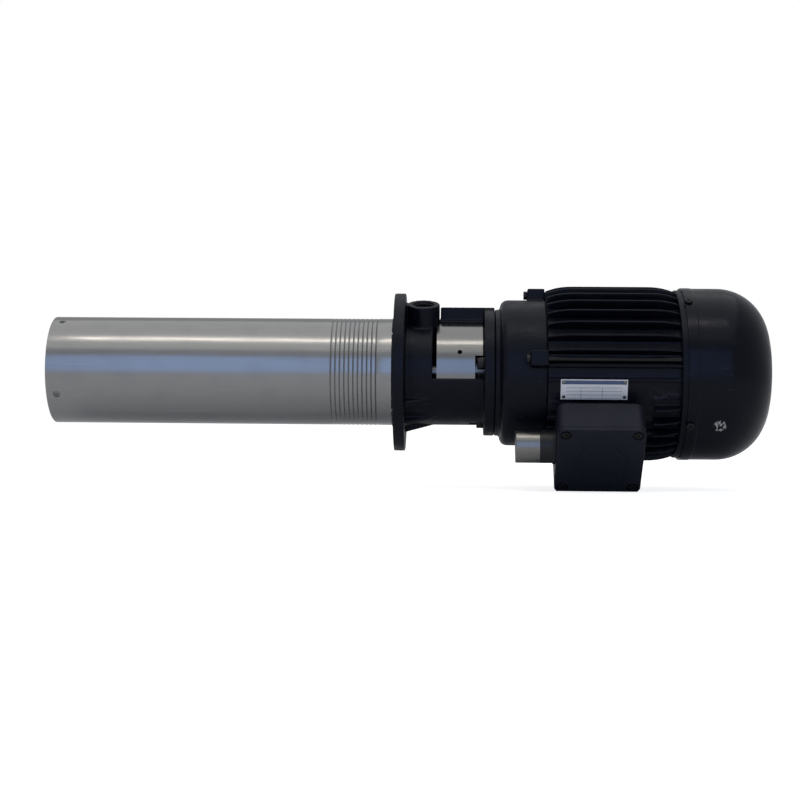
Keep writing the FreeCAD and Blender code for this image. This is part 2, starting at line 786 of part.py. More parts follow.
def rear_endshield():
    """Fan-end shield: the rim that carries the fan cover, and the rear bearing's seat."""
    hollow_r = rear_rim_r - rear_rim_wall
    web_top_z = frame_top_z + rear_web_t
    hub_z = rear_bearing_z - rear_hub_floor
    lip_r = frame_bore_r - seat_gap
    rim = revolved([
        (0, frame_top_z), (rear_rim_r, frame_top_z), (rear_rim_r, rear_rim_top_z), (hollow_r, rear_rim_top_z),
        (hollow_r, web_top_z), (0, web_top_z),
    ], skin_sides)
    lip = flat_ring(clear_r(lip_r, wide_sides), lip_r - lip_wall, frame_top_z - lip_h, lip_h + sink, wide_sides)
    hub = flat_bore(rear_hub_r, hub_z, rear_bearing_w + rear_hub_floor)
    bolt = upright_rod(through_bolt_circle_r, through_bolt_r + screw_gap, frame_top_z - over,
                       through_bolt_end_z + free_gap + over - frame_top_z)
    screw = radial_rod(cover_screw_r + thread_gap, hollow_r - over, rear_rim_r + over, cover_screw_z)
    cuts = [
        flat_bore(rear_bearing_r + seat_gap / 2, rear_bearing_z, rear_bearing_w + over),
        flat_bore(core_seat_r + free_gap, hub_z - over, rear_bearing_w),
    ]
    cuts += ring_of(bolt, through_bolt_count, lug_angle)
    cuts += ring_of(screw, cover_screw_count, cover_screw_angle)
    return one_solid(rim.fuse([lip, hub]).cut(Part.makeCompound(cuts)))


def fan_cover():
    """Pressed cover with a beaded lip, a large corner radius and a slotted end."""
    inner_r, inner_top_z = cover_r - cover_sheet, cover_top_z - cover_sheet
    lip_r, bead_z = cover_r + cover_bead, cover_z + cover_bead_h
    outside = bend_points(cover_r, cover_top_z, cover_corner_r, cover_bend)
    inside = bend_points(inner_r, inner_top_z, cover_corner_r - cover_sheet, cover_bend)
    shell = revolved([
        (inner_r, cover_z), (lip_r, cover_z), (lip_r, bead_z), (cover_r, bead_z),
    ] + outside + [(grille_rim_r, cover_top_z), (0, cover_top_z), (0, inner_top_z), (grille_rim_r, inner_top_z),
    ] + inside[::-1], skin_sides)
    slot = radial_bar(grille_in_r, grille_out_r, grille_slot_w, inner_top_z - over, cover_sheet + 2 * over)
    screw = radial_rod(cover_screw_r + screw_gap, inner_r - over, lip_r + over, cover_screw_z)
    cuts = ring_of(slot, grille_slot_count) + ring_of(screw, cover_screw_count, cover_screw_angle)
    return one_solid(shell.cut(Part.makeCompound(cuts)))


def cover_screws():
    """Four screws through the cover's lip into the rear endshield."""
    seat = cover_r + cover_bead
    shank = radial_rod(cover_screw_r, rear_rim_r - cover_screw_len, seat, cover_screw_z)
    head = radial_rod(cover_screw_head_r, seat, seat + cover_screw_head_h, cover_screw_z)
    return ring_of(shank.fuse(head), cover_screw_count, cover_screw_angle)


def through_bolts():
    """Four long bolts beside the fins, from the rear rim to the front lugs."""
    low = bell_top_z - lug_h - through_bolt_head_h
    shank = upright_rod(through_bolt_circle_r, through_bolt_r, low, through_bolt_end_z - low)
    head = hex_prism(through_bolt_af, through_bolt_head_h, V(through_bolt_circle_r, 0, low))
    return ring_of(shank.fuse(head), through_bolt_count, lug_angle)


def motor_shaft():
    """Stepped motor shaft from the coupling to the fan."""
    low = shaft_meet_z + shaft_end_gap / 2
    end = fan_z + fan_hub_h + fan_shaft_end
    return revolved([
        (0, low), (motor_shaft_r, low), (motor_shaft_r, front_bearing_z), (front_seat_r, front_bearing_z),
        (front_seat_r, front_bearing_top_z), (core_seat_r, front_bearing_top_z), (core_seat_r, rear_bearing_z),
        (rear_seat_r, rear_bearing_z), (rear_seat_r, rear_bearing_top_z), (fan_seat_r, rear_bearing_top_z),
        (fan_seat_r, end), (0, end),
    ])


def bearing_outer_rings():
    """Outer rings of the two sealed ball bearings, with their shields."""
    front = flat_ring(clear_r(front_bearing_r), front_race_r + shield_gap, front_bearing_z, front_bearing_w)
    rear = flat_ring(clear_r(rear_bearing_r), rear_race_r + shield_gap, rear_bearing_z, rear_bearing_w)
    return [front, rear]


def bearing_inner_rings():
    """Inner rings of the two bearings, on the shaft."""
    front = flat_ring(front_race_r, front_seat_r + run_gap / 2, front_bearing_z, front_bearing_w)
    rear = flat_ring(rear_race_r, rear_seat_r + run_gap / 2, rear_bearing_z, rear_bearing_w)
    return [front, rear]


def rotor_core():
    """Squirrel-cage rotor on the shaft."""
    return flat_ring(core_bore_r - air_gap, core_seat_r + run_gap / 2, core_z, core_len)


def fan():
    """Radial fan: hub, back disc and straight blades, good for either direction."""
    bore_r = clear_r(fan_seat_r + run_gap / 2)
    disc_top_z, hub_top_z = fan_z + fan_disc_t, fan_z + fan_hub_h
    hub = revolved([
        (bore_r, fan_z), (fan_disc_r, fan_z), (fan_disc_r, disc_top_z), (fan_hub_r, disc_top_z),
        (fan_hub_r, hub_top_z), (bore_r, hub_top_z),
    ])
    blade_z = fan_z + fan_disc_t / 2
    blade = radial_bar(fan_hub_r - sink, fan_step_r, fan_blade_t, blade_z, fan_blade_h)
    tip = radial_bar(fan_step_r - sink, fan_r, fan_blade_t, blade_z, fan_blade_h * fan_step_share)
    return one_solid(hub.fuse(ring_of(blade.fuse(tip), fan_blade_count)))


def box_slab(grow, low_h, depth):
    """Slab of the terminal box's outline, at a distance from the shaft."""
    half_x, low_z, high_z = box_w / 2 + grow, box_z - grow, box_z + box_len + grow
    return rounded_slab(half_x, low_z, high_z, -low_h, depth, box_corner_r + grow)


def box_gasket():
    """Gasket between the box and the frame's neck."""
    low_z, high_z = box_mid_z - neck_len / 2, box_mid_z + neck_len / 2
    outer = block(-neck_half_w, -box_low_h, low_z, neck_half_w, -box_seat_h, high_z)
    holes = box_screw_rods(box_screw_r + screw_gap, box_seat_h - over, box_low_h + over)
    return outer.cut(neck_window(-box_low_h - over, -box_seat_h + over)).cut(Part.makeCompound(holes))


def neck_window(low_y, high_y):
    """Opening for the leads through the neck."""
    return block(neck_wall - neck_half_w, low_y, box_mid_z - neck_len / 2 + neck_wall,
                 neck_half_w - neck_wall, high_y, box_mid_z + neck_len / 2 - neck_wall)


def box_screw_places():
    """X and Z of the four screws that hold the box on its neck."""
    x, z = box_screw_spread / 2, neck_len / 2 - neck_wall / 2
    return [(sx, box_mid_z + sz) for sx in (-x, x) for sz in (-z, z)]


def box_screw_rods(radius, low_h, high_h):
    """Rods at the places of the box screws."""
    return [rod(radius, high_h - low_h, V(x, -low_h, z), V(0, -1, 0)) for x, z in box_screw_places()]


def terminal_box():
    """Deep box on the neck, with a hole for the leads and one for the cable gland."""
    floor_h = box_low_h + box_floor
    outer = box_slab(0, box_low_h, box_h)
    inner = box_hollow(box_wall, floor_h, box_h)
    body = outer.cut(inner).fuse(screw_posts(floor_h - sink, box_top_h, box_slab(0, box_low_h, box_h)))
    entry = rod(gland_thread_r + seat_gap, box_wall + 2 * over, V(0, -gland_h, box_z - over), UP, wide_sides)
    cuts = [entry, neck_window(-floor_h - over, -box_low_h + over)]
    cuts += lid_screw_rods(lid_screw_r + screw_gap, box_top_h - lid_screw_len - 2 * over, box_top_h + over)
    cuts += box_screw_rods(box_screw_r + screw_gap, box_low_h - over, floor_h + over)
    return one_solid(body.cut(Part.makeCompound(cuts)))


def screw_posts(low_h, high_h, outline):
    """Square posts round the lid screws, kept inside the box's outline."""
    half = lid_post_half
    posts = [block(x - half, -high_h, z - half, x + half, -low_h, z + half) for x, z in lid_screw_places()]
    return [post.common(outline) for post in posts]


def box_hollow(inset, low_h, depth):
    """Square-cornered block inside the terminal box's outline."""
    half_x = box_w / 2 - inset
    return block(-half_x, -low_h - depth, box_z + inset, half_x, -low_h, box_z + box_len - inset)


def lid_screw_places():
    """X and Z of the four lid screws."""
    x = box_w / 2 - lid_pocket_inset
    return [(sx, z) for sx in (-x, x) for z in (box_z + lid_pocket_inset, box_z + box_len - lid_pocket_inset)]


def lid_screw_rods(radius, low_h, high_h):
    """Rods at the places of the lid screws."""
    return [rod(radius, high_h - low_h, V(x, -low_h, z), V(0, -1, 0)) for x, z in lid_screw_places()]


def lid_gasket():
    """Flat gasket under the lid."""
    inside = box_hollow(box_wall, box_top_h - over, box_gasket_t + 2 * over)
    return box_slab(0, box_top_h, box_gasket_t).cut(inside)


def box_lid():
    """Lid with a round pocket for the screw at each corner."""
    plate = box_slab(0, lid_low_h, lid_t)
    inside = box_hollow(box_wall + free_gap, lid_low_h - over, lid_hollow + over)
    plate = plate.cut(inside).fuse(screw_posts(lid_low_h, lid_top_h - sink, box_slab(0, lid_low_h, lid_t)))
    pockets = lid_screw_rods(lid_pocket_r, lid_top_h - lid_screw_head_h, lid_top_h + over)
    holes = lid_screw_rods(lid_screw_r + screw_gap, lid_low_h - over, lid_top_h + over)
    return one_solid(plate.cut(Part.makeCompound(pockets + holes)))


def lid_screws():
    """Four lid screws."""
    seat_h = lid_top_h - lid_screw_head_h
    heads = lid_screw_rods(lid_screw_head_r, seat_h, lid_top_h - lid_screw_sunk)
    shanks = lid_screw_rods(lid_screw_r, box_top_h - lid_screw_len, seat_h)
    return [head.fuse(shank) for head, shank in zip(heads, shanks)]


def box_screws():
    """Four screws from inside the box into the neck."""
    seat_h = box_low_h + box_floor
    shanks = box_screw_rods(box_screw_r, box_seat_h - box_screw_depth, seat_h)
    places = [V(x, -seat_h, z) for x, z in box_screw_places()]
    heads = [hex_prism(box_screw_af, box_screw_head_h, place, V(0, -1, 0)) for place in places]
    return [head.fuse(shank) for head, shank in zip(heads, shanks)]


def terminal_block():
    """Insulating block with two rows of terminals."""
    low = box_low_h + box_floor
    half = terminal_block_w / 2
    return block(-half, -low - terminal_block_h, box_mid_z - half / 2, half, -low, box_mid_z + half / 2)


def terminal_studs():
    """Six hexagonal terminals on the block."""
    seat = box_low_h + box_floor + terminal_block_h
    studs = []
    for x in (-terminal_pitch, 0, terminal_pitch):
        for z in (box_mid_z - terminal_row_half, box_mid_z + terminal_row_half):
            studs.append(hex_prism(terminal_stud_af, terminal_stud_h, V(x, -seat, z), V(0, -1, 0)))
    return studs


def gland_body():
    """Gland body: its thread goes through the wall, and its flange seats outside."""
    end_z = box_z + box_wall + gland_thread_end
    body = revolved([
        (0, gland_low_z), (gland_r, gland_low_z), (gland_r, gland_seat_z), (gland_flare_r, gland_seat_z),
        (gland_flare_r, box_z), (gland_thread_r, box_z), (gland_thread_r, end_z), (0, end_z),
    ], wide_sides)
    body = body.cut(disc(gland_bore_r, gland_low_z - over, end_z + 2 * over - gland_low_z))
    body.translate(V(0, -gland_h, 0))
    return body


def gland_sleeve():
    """Smooth metal sleeve that clamps the cable or conduit."""
    low = gland_low_z - gland_sleeve_len
    outer = rod(gland_r - seat_gap, gland_sleeve_len, V(0, -gland_h, low), UP, wide_sides)
    return outer.cut(Part.makeCylinder(gland_bore_r, gland_sleeve_len, V(0, -gland_h, low), UP))


def at_plate(shape):
    """Moves a shape drawn on +X at mid-height to the nameplate's place."""
    moved = shape.copy()
    moved.translate(V(0, -plate_rise, plate_z))
    return turned(moved, plate_pad_angle)


def nameplate():
    """Thin blank plate on its pad."""
    plate = block(plate_pad_h, -plate_h / 2, -plate_w / 2, plate_pad_h + plate_t, plate_h / 2, plate_w / 2)
    holes = rivet_rods(rivet_r + thread_gap, plate_pad_h - over, plate_pad_h + plate_t + over)
    return at_plate(plate).cut(Part.makeCompound(holes))


def rivet_rods(radius, inner, outer):
    """Rods at the nameplate's four corners."""
    rods = []
    for y in (-1, 1):
        for z in (-1, 1):
            pin = radial_rod(radius, inner, outer, z * (plate_w / 2 - rivet_inset))
            pin.translate(V(0, y * (plate_h / 2 - rivet_inset), 0))
            rods.append(at_plate(pin))
    return rods


def plate_rivets():
    """Four rivets in the nameplate."""
    seat = plate_pad_h + plate_t
    heads = rivet_rods(rivet_head_r, seat, seat + rivet_head_h)
    shanks = rivet_rods(rivet_r, plate_pad_h - rivet_len, seat)
    return [head.fuse(shank) for head, shank in zip(heads, shanks)]


nodes = {
    "dip_tube": dip_tube,
    "tube_screws": tube_screws,
    "suction_cover": suction_cover,
    "stage_casings": stage_casings,
    "stack_cover": stack_cover,
    "impellers": impellers,
    "shaft_bushes": shaft_bushes,
    "tie_rods": tie_rods,
    "tie_rod_nuts": tie_rod_nuts,
    "pump_shaft": pump_shaft,
    "pump_head": pump_head,
    "coupling_guards": coupling_guards,
    "shaft_seal": shaft_seal,
    "shaft_coupling": shaft_coupling,
    "coupling_screws": coupling_screws,
    "face_screws": face_screws,
    "front_endshield": front_endshield,
    "stator_frame": stator_frame,
    "stator_core": stator_core,
    "end_windings": end_windings,
    "rear_endshield": rear_endshield,
    "fan_cover": fan_cover,
    "cover_screws": cover_screws,
    "through_bolts": through_bolts,
    "motor_shaft": motor_shaft,
    "bearing_outer_rings": bearing_outer_rings,
    "bearing_inner_rings": bearing_inner_rings,
    "rotor_core": rotor_core,
    "fan": fan,
    "box_gasket": box_gasket,
    "terminal_box": terminal_box,
    "lid_gasket": lid_gasket,
    "box_lid": box_lid,
    "lid_screws": lid_screws,
    "box_screws": box_screws,
    "terminal_block": terminal_block,
    "terminal_studs": terminal_studs,
    "gland_body": gland_body,
    "gland_sleeve": gland_sleeve,
    "nameplate": nameplate,
    "plate_rivets": plate_rivets,
}


def main():
    """Build every node and write one STEP file for each."""
    os.makedirs("parts", exist_ok=True)
    for name, build in nodes.items():
        shape = build()
        if isinstance(shape, list):
            shape = Part.makeCompound(shape)
        shape.exportStep("parts/" + name + ".step")
        print(name, len(shape.Solids), round(shape.Volume / 1000, 2), shape.isValid())


main()
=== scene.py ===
"""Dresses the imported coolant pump: finer skins, procedural finishes, studio stage and camera.

The pump stands upright in the frame: Z runs up the shaft, the origin is under the mounting flange
and the terminal box faces -Y. All sizes are in metres and all angles in degrees from +X.
"""
from __future__ import annotations

import json
import logging
import math
from dataclasses import dataclass
from enum import Enum
from functools import cache

import bmesh
import bpy
from mathutils import Matrix, Vector

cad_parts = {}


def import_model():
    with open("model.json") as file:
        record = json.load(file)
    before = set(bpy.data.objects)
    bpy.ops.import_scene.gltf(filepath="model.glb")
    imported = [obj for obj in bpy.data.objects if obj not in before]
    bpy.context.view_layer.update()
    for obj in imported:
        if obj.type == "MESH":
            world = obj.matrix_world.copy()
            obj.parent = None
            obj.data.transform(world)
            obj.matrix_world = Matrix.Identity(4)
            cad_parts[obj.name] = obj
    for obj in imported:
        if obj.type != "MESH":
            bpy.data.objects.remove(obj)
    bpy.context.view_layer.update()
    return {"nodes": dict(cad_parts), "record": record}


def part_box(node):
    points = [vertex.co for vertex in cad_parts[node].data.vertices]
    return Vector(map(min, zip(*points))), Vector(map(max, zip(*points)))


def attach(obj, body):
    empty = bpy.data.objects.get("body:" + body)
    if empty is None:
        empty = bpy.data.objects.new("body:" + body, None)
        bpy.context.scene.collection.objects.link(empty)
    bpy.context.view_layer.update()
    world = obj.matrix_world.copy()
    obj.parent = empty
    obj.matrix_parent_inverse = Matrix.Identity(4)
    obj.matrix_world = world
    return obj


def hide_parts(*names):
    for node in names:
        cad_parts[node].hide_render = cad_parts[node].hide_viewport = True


Color = tuple[float, float, float]
Axes = tuple[float, float, float]
Range = tuple[float, float]
Profile = list[tuple[float, float]]
Inputs = dict[str | int, object]
Piece = bpy.types.Object
Material = bpy.types.Material
Socket = bpy.types.NodeSocket

log = logging.getLogger("pump")
MM = 0.001
TINY = 1e-6  # points closer than this are one point
SKIN_SIDES = 48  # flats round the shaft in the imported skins
SHAFT = Vector((0, 0, 1))
OUT_OF_LID = Vector((0, -1, 0))
HOUSING = "housing"  # body that every new piece rides on
LUG_ANGLE = 215.5
PAD_ANGLE = 244.5
PAD_H = 85.0 * MM


class Recess(Enum):
    """The driver shape in a screw's head."""

    SOCKET = "socket"
    CROSS = "cross"


def polar(radius: float, degrees: float, z: float = 0.0) -> Vector:
    """Gives the point at a radius, an angle and a level."""
    a = math.radians(degrees)
    return Vector((radius * math.cos(a), radius * math.sin(a), z))


def circle(radius: float, count: int) -> Profile:
    """Gives a round outline of so many points about the origin."""
    return [tuple(polar(radius, 360 * k / count)[:2]) for k in range(count)]


def rectangle(x: Range, y: Range) -> Profile:
    """Gives the outline that reaches between two values on both axes."""
    return [(x[0], y[0]), (x[1], y[0]), (x[1], y[1]), (x[0], y[1])]


def rounded(points: list[tuple[float, float, float]], steps: int) -> Profile:
    """Rounds the corners of an outline.

    Args:
        points: Corners as first value, second value and corner radius.
        steps: Number of chords along each rounded corner.

    Returns:
        The outline's points, with an arc in place of each corner that has a radius.
    """
    result: Profile = []
    count = len(points)
    for k, (x, y, radius) in enumerate(points):
        here = Vector((x, y))
        if radius <= 0:
            result.append((x, y))
            continue
        before = (Vector(points[k - 1][:2]) - here).normalized()
        after = (Vector(points[(k + 1) % count][:2]) - here).normalized()
        half = before.angle(after) / 2
        reach = radius / math.tan(half)
        centre = here + (before + after).normalized() * (radius / math.sin(half))
        start, end = here + before * reach - centre, here + after * reach - centre
        result += [tuple(centre + radius * start.slerp(end, i / steps)) for i in range(steps + 1)]
    return result


def shade(mesh: bpy.types.Mesh, sharp: float = 35.0) -> None:
    """Shades a mesh smooth, with edges sharper than an angle kept crisp."""
    mesh.shade_smooth()
    mesh.set_sharp_from_angle(angle=math.radians(sharp))


def new_piece(name: str, mesh: bpy.types.Mesh) -> Piece:
    """Links a mesh as a shaded object.

    Args:
        name: Name of the piece.
        mesh: Its mesh, in the row frame.

    Returns:
        The new object.
    """
    shade(mesh)
    piece = bpy.data.objects.new(name, mesh)
    bpy.context.scene.collection.objects.link(piece)
    return piece


def mesh_from(name: str, bm: bmesh.types.BMesh) -> bpy.types.Mesh:
    """Turns a bmesh into a mesh with outward normals and frees it.

    Args:
        name: Name of the mesh.
        bm: The bmesh, which is gone afterwards.

    Returns:
        The new mesh.
    """
    bmesh.ops.recalc_face_normals(bm, faces=bm.faces)
    mesh = bpy.data.meshes.new(name)
    bm.to_mesh(mesh)
    bm.free()
    return mesh


def revolved(name: str, profile: Profile, segments: int, closed: bool = True,
             place: Matrix | None = None) -> Piece:
    """Spins an outline about the local Z axis.

    Args:
        name: Name of the piece.
        profile: Outline as radius and level pairs; a radius of zero closes on the axis.
        segments: Number of steps round the axis.
        closed: Whether the last point joins the first one.
        place: Where the local axes lie in the row frame.

    Returns:
        The new object.
    """
    bm = bmesh.new()
    rings = []
    for radius, z in profile:
        count = 1 if radius < TINY else segments
        rings.append([bm.verts.new(polar(radius, 360 * k / segments, z)) for k in range(count)])
    pairs = list(zip(rings, rings[1:]))
    if closed:
        pairs.append((rings[-1], rings[0]))
    for low, high in pairs:
        if len(low) == len(high) == 1:
            continue
        for k in range(segments):
            corners = (low[k % len(low)], low[(k + 1) % len(low)],
                       high[(k + 1) % len(high)], high[k % len(high)])
            bm.faces.new(list(dict.fromkeys(corners)))
    if place is not None:
        bm.transform(place)
    return new_piece(name, mesh_from(name, bm))


def lofted(name: str, loops: list[list[Vector]], ring: bool = False) -> Piece:
    """Skins closed loops of equal length.

    Args:
        name: Name of the piece.
        loops: Closed loops of points.
        ring: Whether the last loop joins the first one, else both ends are capped.

    Returns:
        The new object.
    """
    bm = bmesh.new()
    rows = [[bm.verts.new(p) for p in loop] for loop in loops]
    pairs = list(zip(rows, rows[1:]))
    if ring:
        pairs.append((rows[-1], rows[0]))
    else:
        bm.faces.new(rows[0][::-1])
        bm.faces.new(rows[-1])
    count = len(rows[0])
    for low, high in pairs:
        for k in range(count):
            bm.faces.new((low[k], low[(k + 1) % count], high[(k + 1) % count], high[k]))
    return new_piece(name, mesh_from(name, bm))


def prism(name: str, outline: Profile, levels: Range, place: Matrix) -> Piece:
    """Stands a closed outline up between two levels, in local axes that are then placed."""
    return lofted(name, [[place @ Vector((x, y, z)) for x, y in outline] for z in levels])


def along(direction: Vector, base: Vector) -> Matrix:
    """Gives the placement whose local Z runs along a direction from a base point."""
    return Matrix.Translation(base) @ direction.to_track_quat("Z", "Y").to_matrix().to_4x4()


def turned(degrees: float) -> Matrix:
    """Gives the turn about the shaft by an angle."""
    return Matrix.Rotation(math.radians(degrees), 4, "Z")


def levels_of(node: str) -> Range:
    """Gives the lowest and the highest level of a CAD node."""
    low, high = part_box(node)
    return low.z, high.z


def settle(piece: Piece) -> None:
    """Applies a piece's modifiers to its mesh.

    Args:
        piece: Piece whose mesh takes the result.
    """
    graph = bpy.context.evaluated_depsgraph_get()
    baked = bpy.data.meshes.new_from_object(piece.evaluated_get(graph))
    piece.modifiers.clear()
    old = piece.data
    piece.data = baked
    bpy.data.meshes.remove(old)


def carve(piece: Piece, tools: list[Piece], join: bool = False) -> Piece:
    """Cuts tools out of a piece, or joins them to it, and removes the tools.

    Args:
        piece: Piece that is worked on.
        tools: Closed shapes, which are gone afterwards.
        join: Whether the tools are added instead of cut out.

    Returns:
        The same piece.
    """
    for tool in tools:
        modifier = piece.modifiers.new("cut", "BOOLEAN")
        modifier.operation = "UNION" if join else "DIFFERENCE"
        modifier.solver = "EXACT"
        modifier.object = tool
    bpy.context.view_layer.update()
    settle(piece)
    for tool in tools:
        bpy.data.meshes.remove(tool.data)  # the tool goes with its mesh
    shade(piece.data)
    return piece


def merge(name: str, pieces: list[Piece]) -> Piece:
    """Joins several pieces into one mesh.

    Args:
        name: Name of the joined piece.
        pieces: Pieces to join, which are gone afterwards.

    Returns:
        The joined piece.
    """
    bm = bmesh.new()
    for piece in pieces:
        bm.from_mesh(piece.data)
        bpy.data.meshes.remove(piece.data)
    mesh = bpy.data.meshes.new(name)
    bm.to_mesh(mesh)
    bm.free()
    return new_piece(name, mesh)


def round_out(piece: Piece, sides: int) -> None:
    """Turns a skin of flats round the shaft, with a corner on +X, into a true round.

    Args:
        piece: Piece with a fine mesh.
        sides: Number of flats round the shaft.
    """
    step = math.tau / sides
    for vertex in piece.data.vertices:
        turn = math.atan2(vertex.co.y, vertex.co.x) % step - step / 2
        growth = math.cos(turn) / math.cos(step / 2)
        vertex.co.x *= growth
        vertex.co.y *= growth


def cast_copy(name: str, node: Piece, voxel: float, passes: int, sides: int = 0) -> Piece:
    """Makes a softened copy of a CAD node, with the rounded edges of a casting.

    Args:
        name: Name of the piece.
        node: CAD node to start from.
        voxel: Size of the grid that the skin is rebuilt on.
        passes: How often the skin is smoothed.
        sides: Number of flats round the shaft that become round; zero keeps the form.

    Returns:
        The new piece, which still has to ride on a body.
    """
    piece = new_piece(name, node.data.copy())
    weld = piece.modifiers.new("weld", "WELD")
    weld.merge_threshold = TINY
    remesh = piece.modifiers.new("skin", "REMESH")
    remesh.mode = "VOXEL"
    remesh.voxel_size = voxel
    smooth = piece.modifiers.new("soft", "SMOOTH")
    smooth.factor = 0.5
    smooth.iterations = passes
    settle(piece)
    if sides:
        round_out(piece, sides)
    piece.data.shade_smooth()
    return piece


def bevelled_copy(name: str, node: Piece, width: float) -> Piece:
    """Makes a copy of a CAD node with broken edges.

    Args:
        name: Name of the piece.
        node: CAD node to start from.
        width: Width of the bevel.

    Returns:
        The new piece, which still has to ride on a body.
    """
    flat, corner, crisp = 1, 40, 50
    bm = bmesh.new()
    bm.from_mesh(node.data)
    bmesh.ops.remove_doubles(bm, verts=bm.verts, dist=TINY)
    bmesh.ops.dissolve_limit(bm, angle_limit=math.radians(flat), verts=bm.verts, edges=bm.edges)
    piece = new_piece(name, mesh_from(name, bm))
    bevel = piece.modifiers.new("edges", "BEVEL")
    bevel.width = width
    bevel.segments = 2
    bevel.limit_method = "ANGLE"
    bevel.angle_limit = math.radians(corner)
    settle(piece)
    shade(piece.data, crisp)
    return piece


def add_node(tree: bpy.types.NodeTree, kind: str, inputs: Inputs,
             operation: str = "") -> bpy.types.Node:
    """Adds a shader node.

    Args:
        tree: Node tree to work in.
        kind: Kind of the node, without its prefix.
        inputs: For each input a value to set or a socket to link.
        operation: What a mathematical node does.

    Returns:
        The node.
    """
    node = tree.nodes.new("ShaderNode" + kind)
    if operation:
        node.operation = operation
    for key, value in inputs.items():
        if isinstance(value, Socket):
            tree.links.new(value, node.inputs[key])
        else:
            node.inputs[key].default_value = value
    return node


class Shader:
    """A material under construction, with object coordinates in metres."""

    def __init__(self, name: str, color: Color, metallic: float, roughness: float) -> None:
        """Starts a material.

        Args:
            name: Name of the material.
            color: Linear base colour.
            metallic: Share of metal.
            roughness: Plain roughness, before any map.
        """
        self.material = bpy.data.materials.new(name)
        self.material.use_nodes = True
        self.tree = self.material.node_tree
        self.surface = self.tree.nodes["Principled BSDF"].inputs
        self.surface["Base Color"].default_value = (*color, 1)
        self.surface["Metallic"].default_value = metallic
        self.surface["Roughness"].default_value = roughness
        self.place = self.add("TexCoord", {}).outputs["Object"]

    def add(self, kind: str, inputs: Inputs, operation: str = "") -> bpy.types.Node:
        """Adds a node to the material."""
        return add_node(self.tree, kind, inputs, operation)

    def link(self, output: Socket, target: Socket) -> None:
        """Joins two sockets."""
        self.tree.links.new(output, target)

    def noise(self, size: float, detail: float, stretch: Axes = (1, 1, 1)) -> Socket:
        """Adds a noise field.

        Args:
            size: Size of its spots in metres.
            detail: Octaves of finer noise.
            stretch: How much longer the spots are along each axis.

        Returns:
            The field's value, around a half.
        """
        scale = tuple(1 / (size * s) for s in stretch)
        place = self.add("Mapping", {"Vector": self.place, "Scale": scale}).outputs["Vector"]
        field = self.add("TexNoise", {"Vector": place, "Scale": 1.0, "Detail": detail})
        return field.outputs["Fac"]

    def span(self, value: Socket, source: Range, target: Range = (0.0, 1.0)) -> Socket:
        """Maps a value from a source range to a target range, clamped."""
        limits = dict(zip(("From Min", "From Max", "To Min", "To Max"), (*source, *target)))
        return self.add("MapRange", {"Value": value, **limits}).outputs["Result"]

    def product(self, a: Socket, b: Socket) -> Socket:
        """Multiplies two values."""
        return self.add("Math", {0: a, 1: b}, "MULTIPLY").outputs["Value"]

    def near(self, centre: Axes, inner: float, outer: float) -> Socket:
        """Masks a round place: one within the inner radius and zero outside the outer one."""
        gap = self.add("VectorMath", {0: self.place, 1: centre}, "DISTANCE").outputs["Value"]
        return self.span(gap, (outer, inner))

    def tint(self, factor: Socket, color: Color) -> None:
        """Blends the base colour towards another colour.

        Args:
            factor: Share of the other colour.
            color: The other colour, linear.
        """
        base = self.surface["Base Color"]
        node = self.add("Mix", {})
        node.data_type = "RGBA"
        first, second = [socket for socket in node.inputs if socket.type == "RGBA"][:2]
        if base.is_linked:
            self.link(base.links[0].from_socket, first)
        else:
            first.default_value = base.default_value
        second.default_value = (*color, 1)
        self.link(factor, node.inputs["Factor"])
        self.link([s for s in node.outputs if s.type == "RGBA"][0], base)

    def roughen(self, value: Socket) -> None:
        """Drives the roughness by a map."""
        self.link(value, self.surface["Roughness"])

    def bump(self, height: Socket, depth: float) -> None:
        """Adds relief on top of what is there.

        Args:
            height: Map of the relief.
            depth: Its depth in metres.
        """
        node = self.add("Bump", {"Distance": depth, "Strength": 1.0, "Height": height})
        normal = self.surface["Normal"]
        if normal.is_linked:
            self.link(normal.links[0].from_socket, node.inputs["Normal"])
        self.link(node.outputs["Normal"], normal)

    def edges(self, pointed: Range) -> Socket:
        """Masks raised edges, from zero to one over a range of pointiness."""
        return self.span(self.add("NewGeometry", {}).outputs["Pointiness"], pointed)


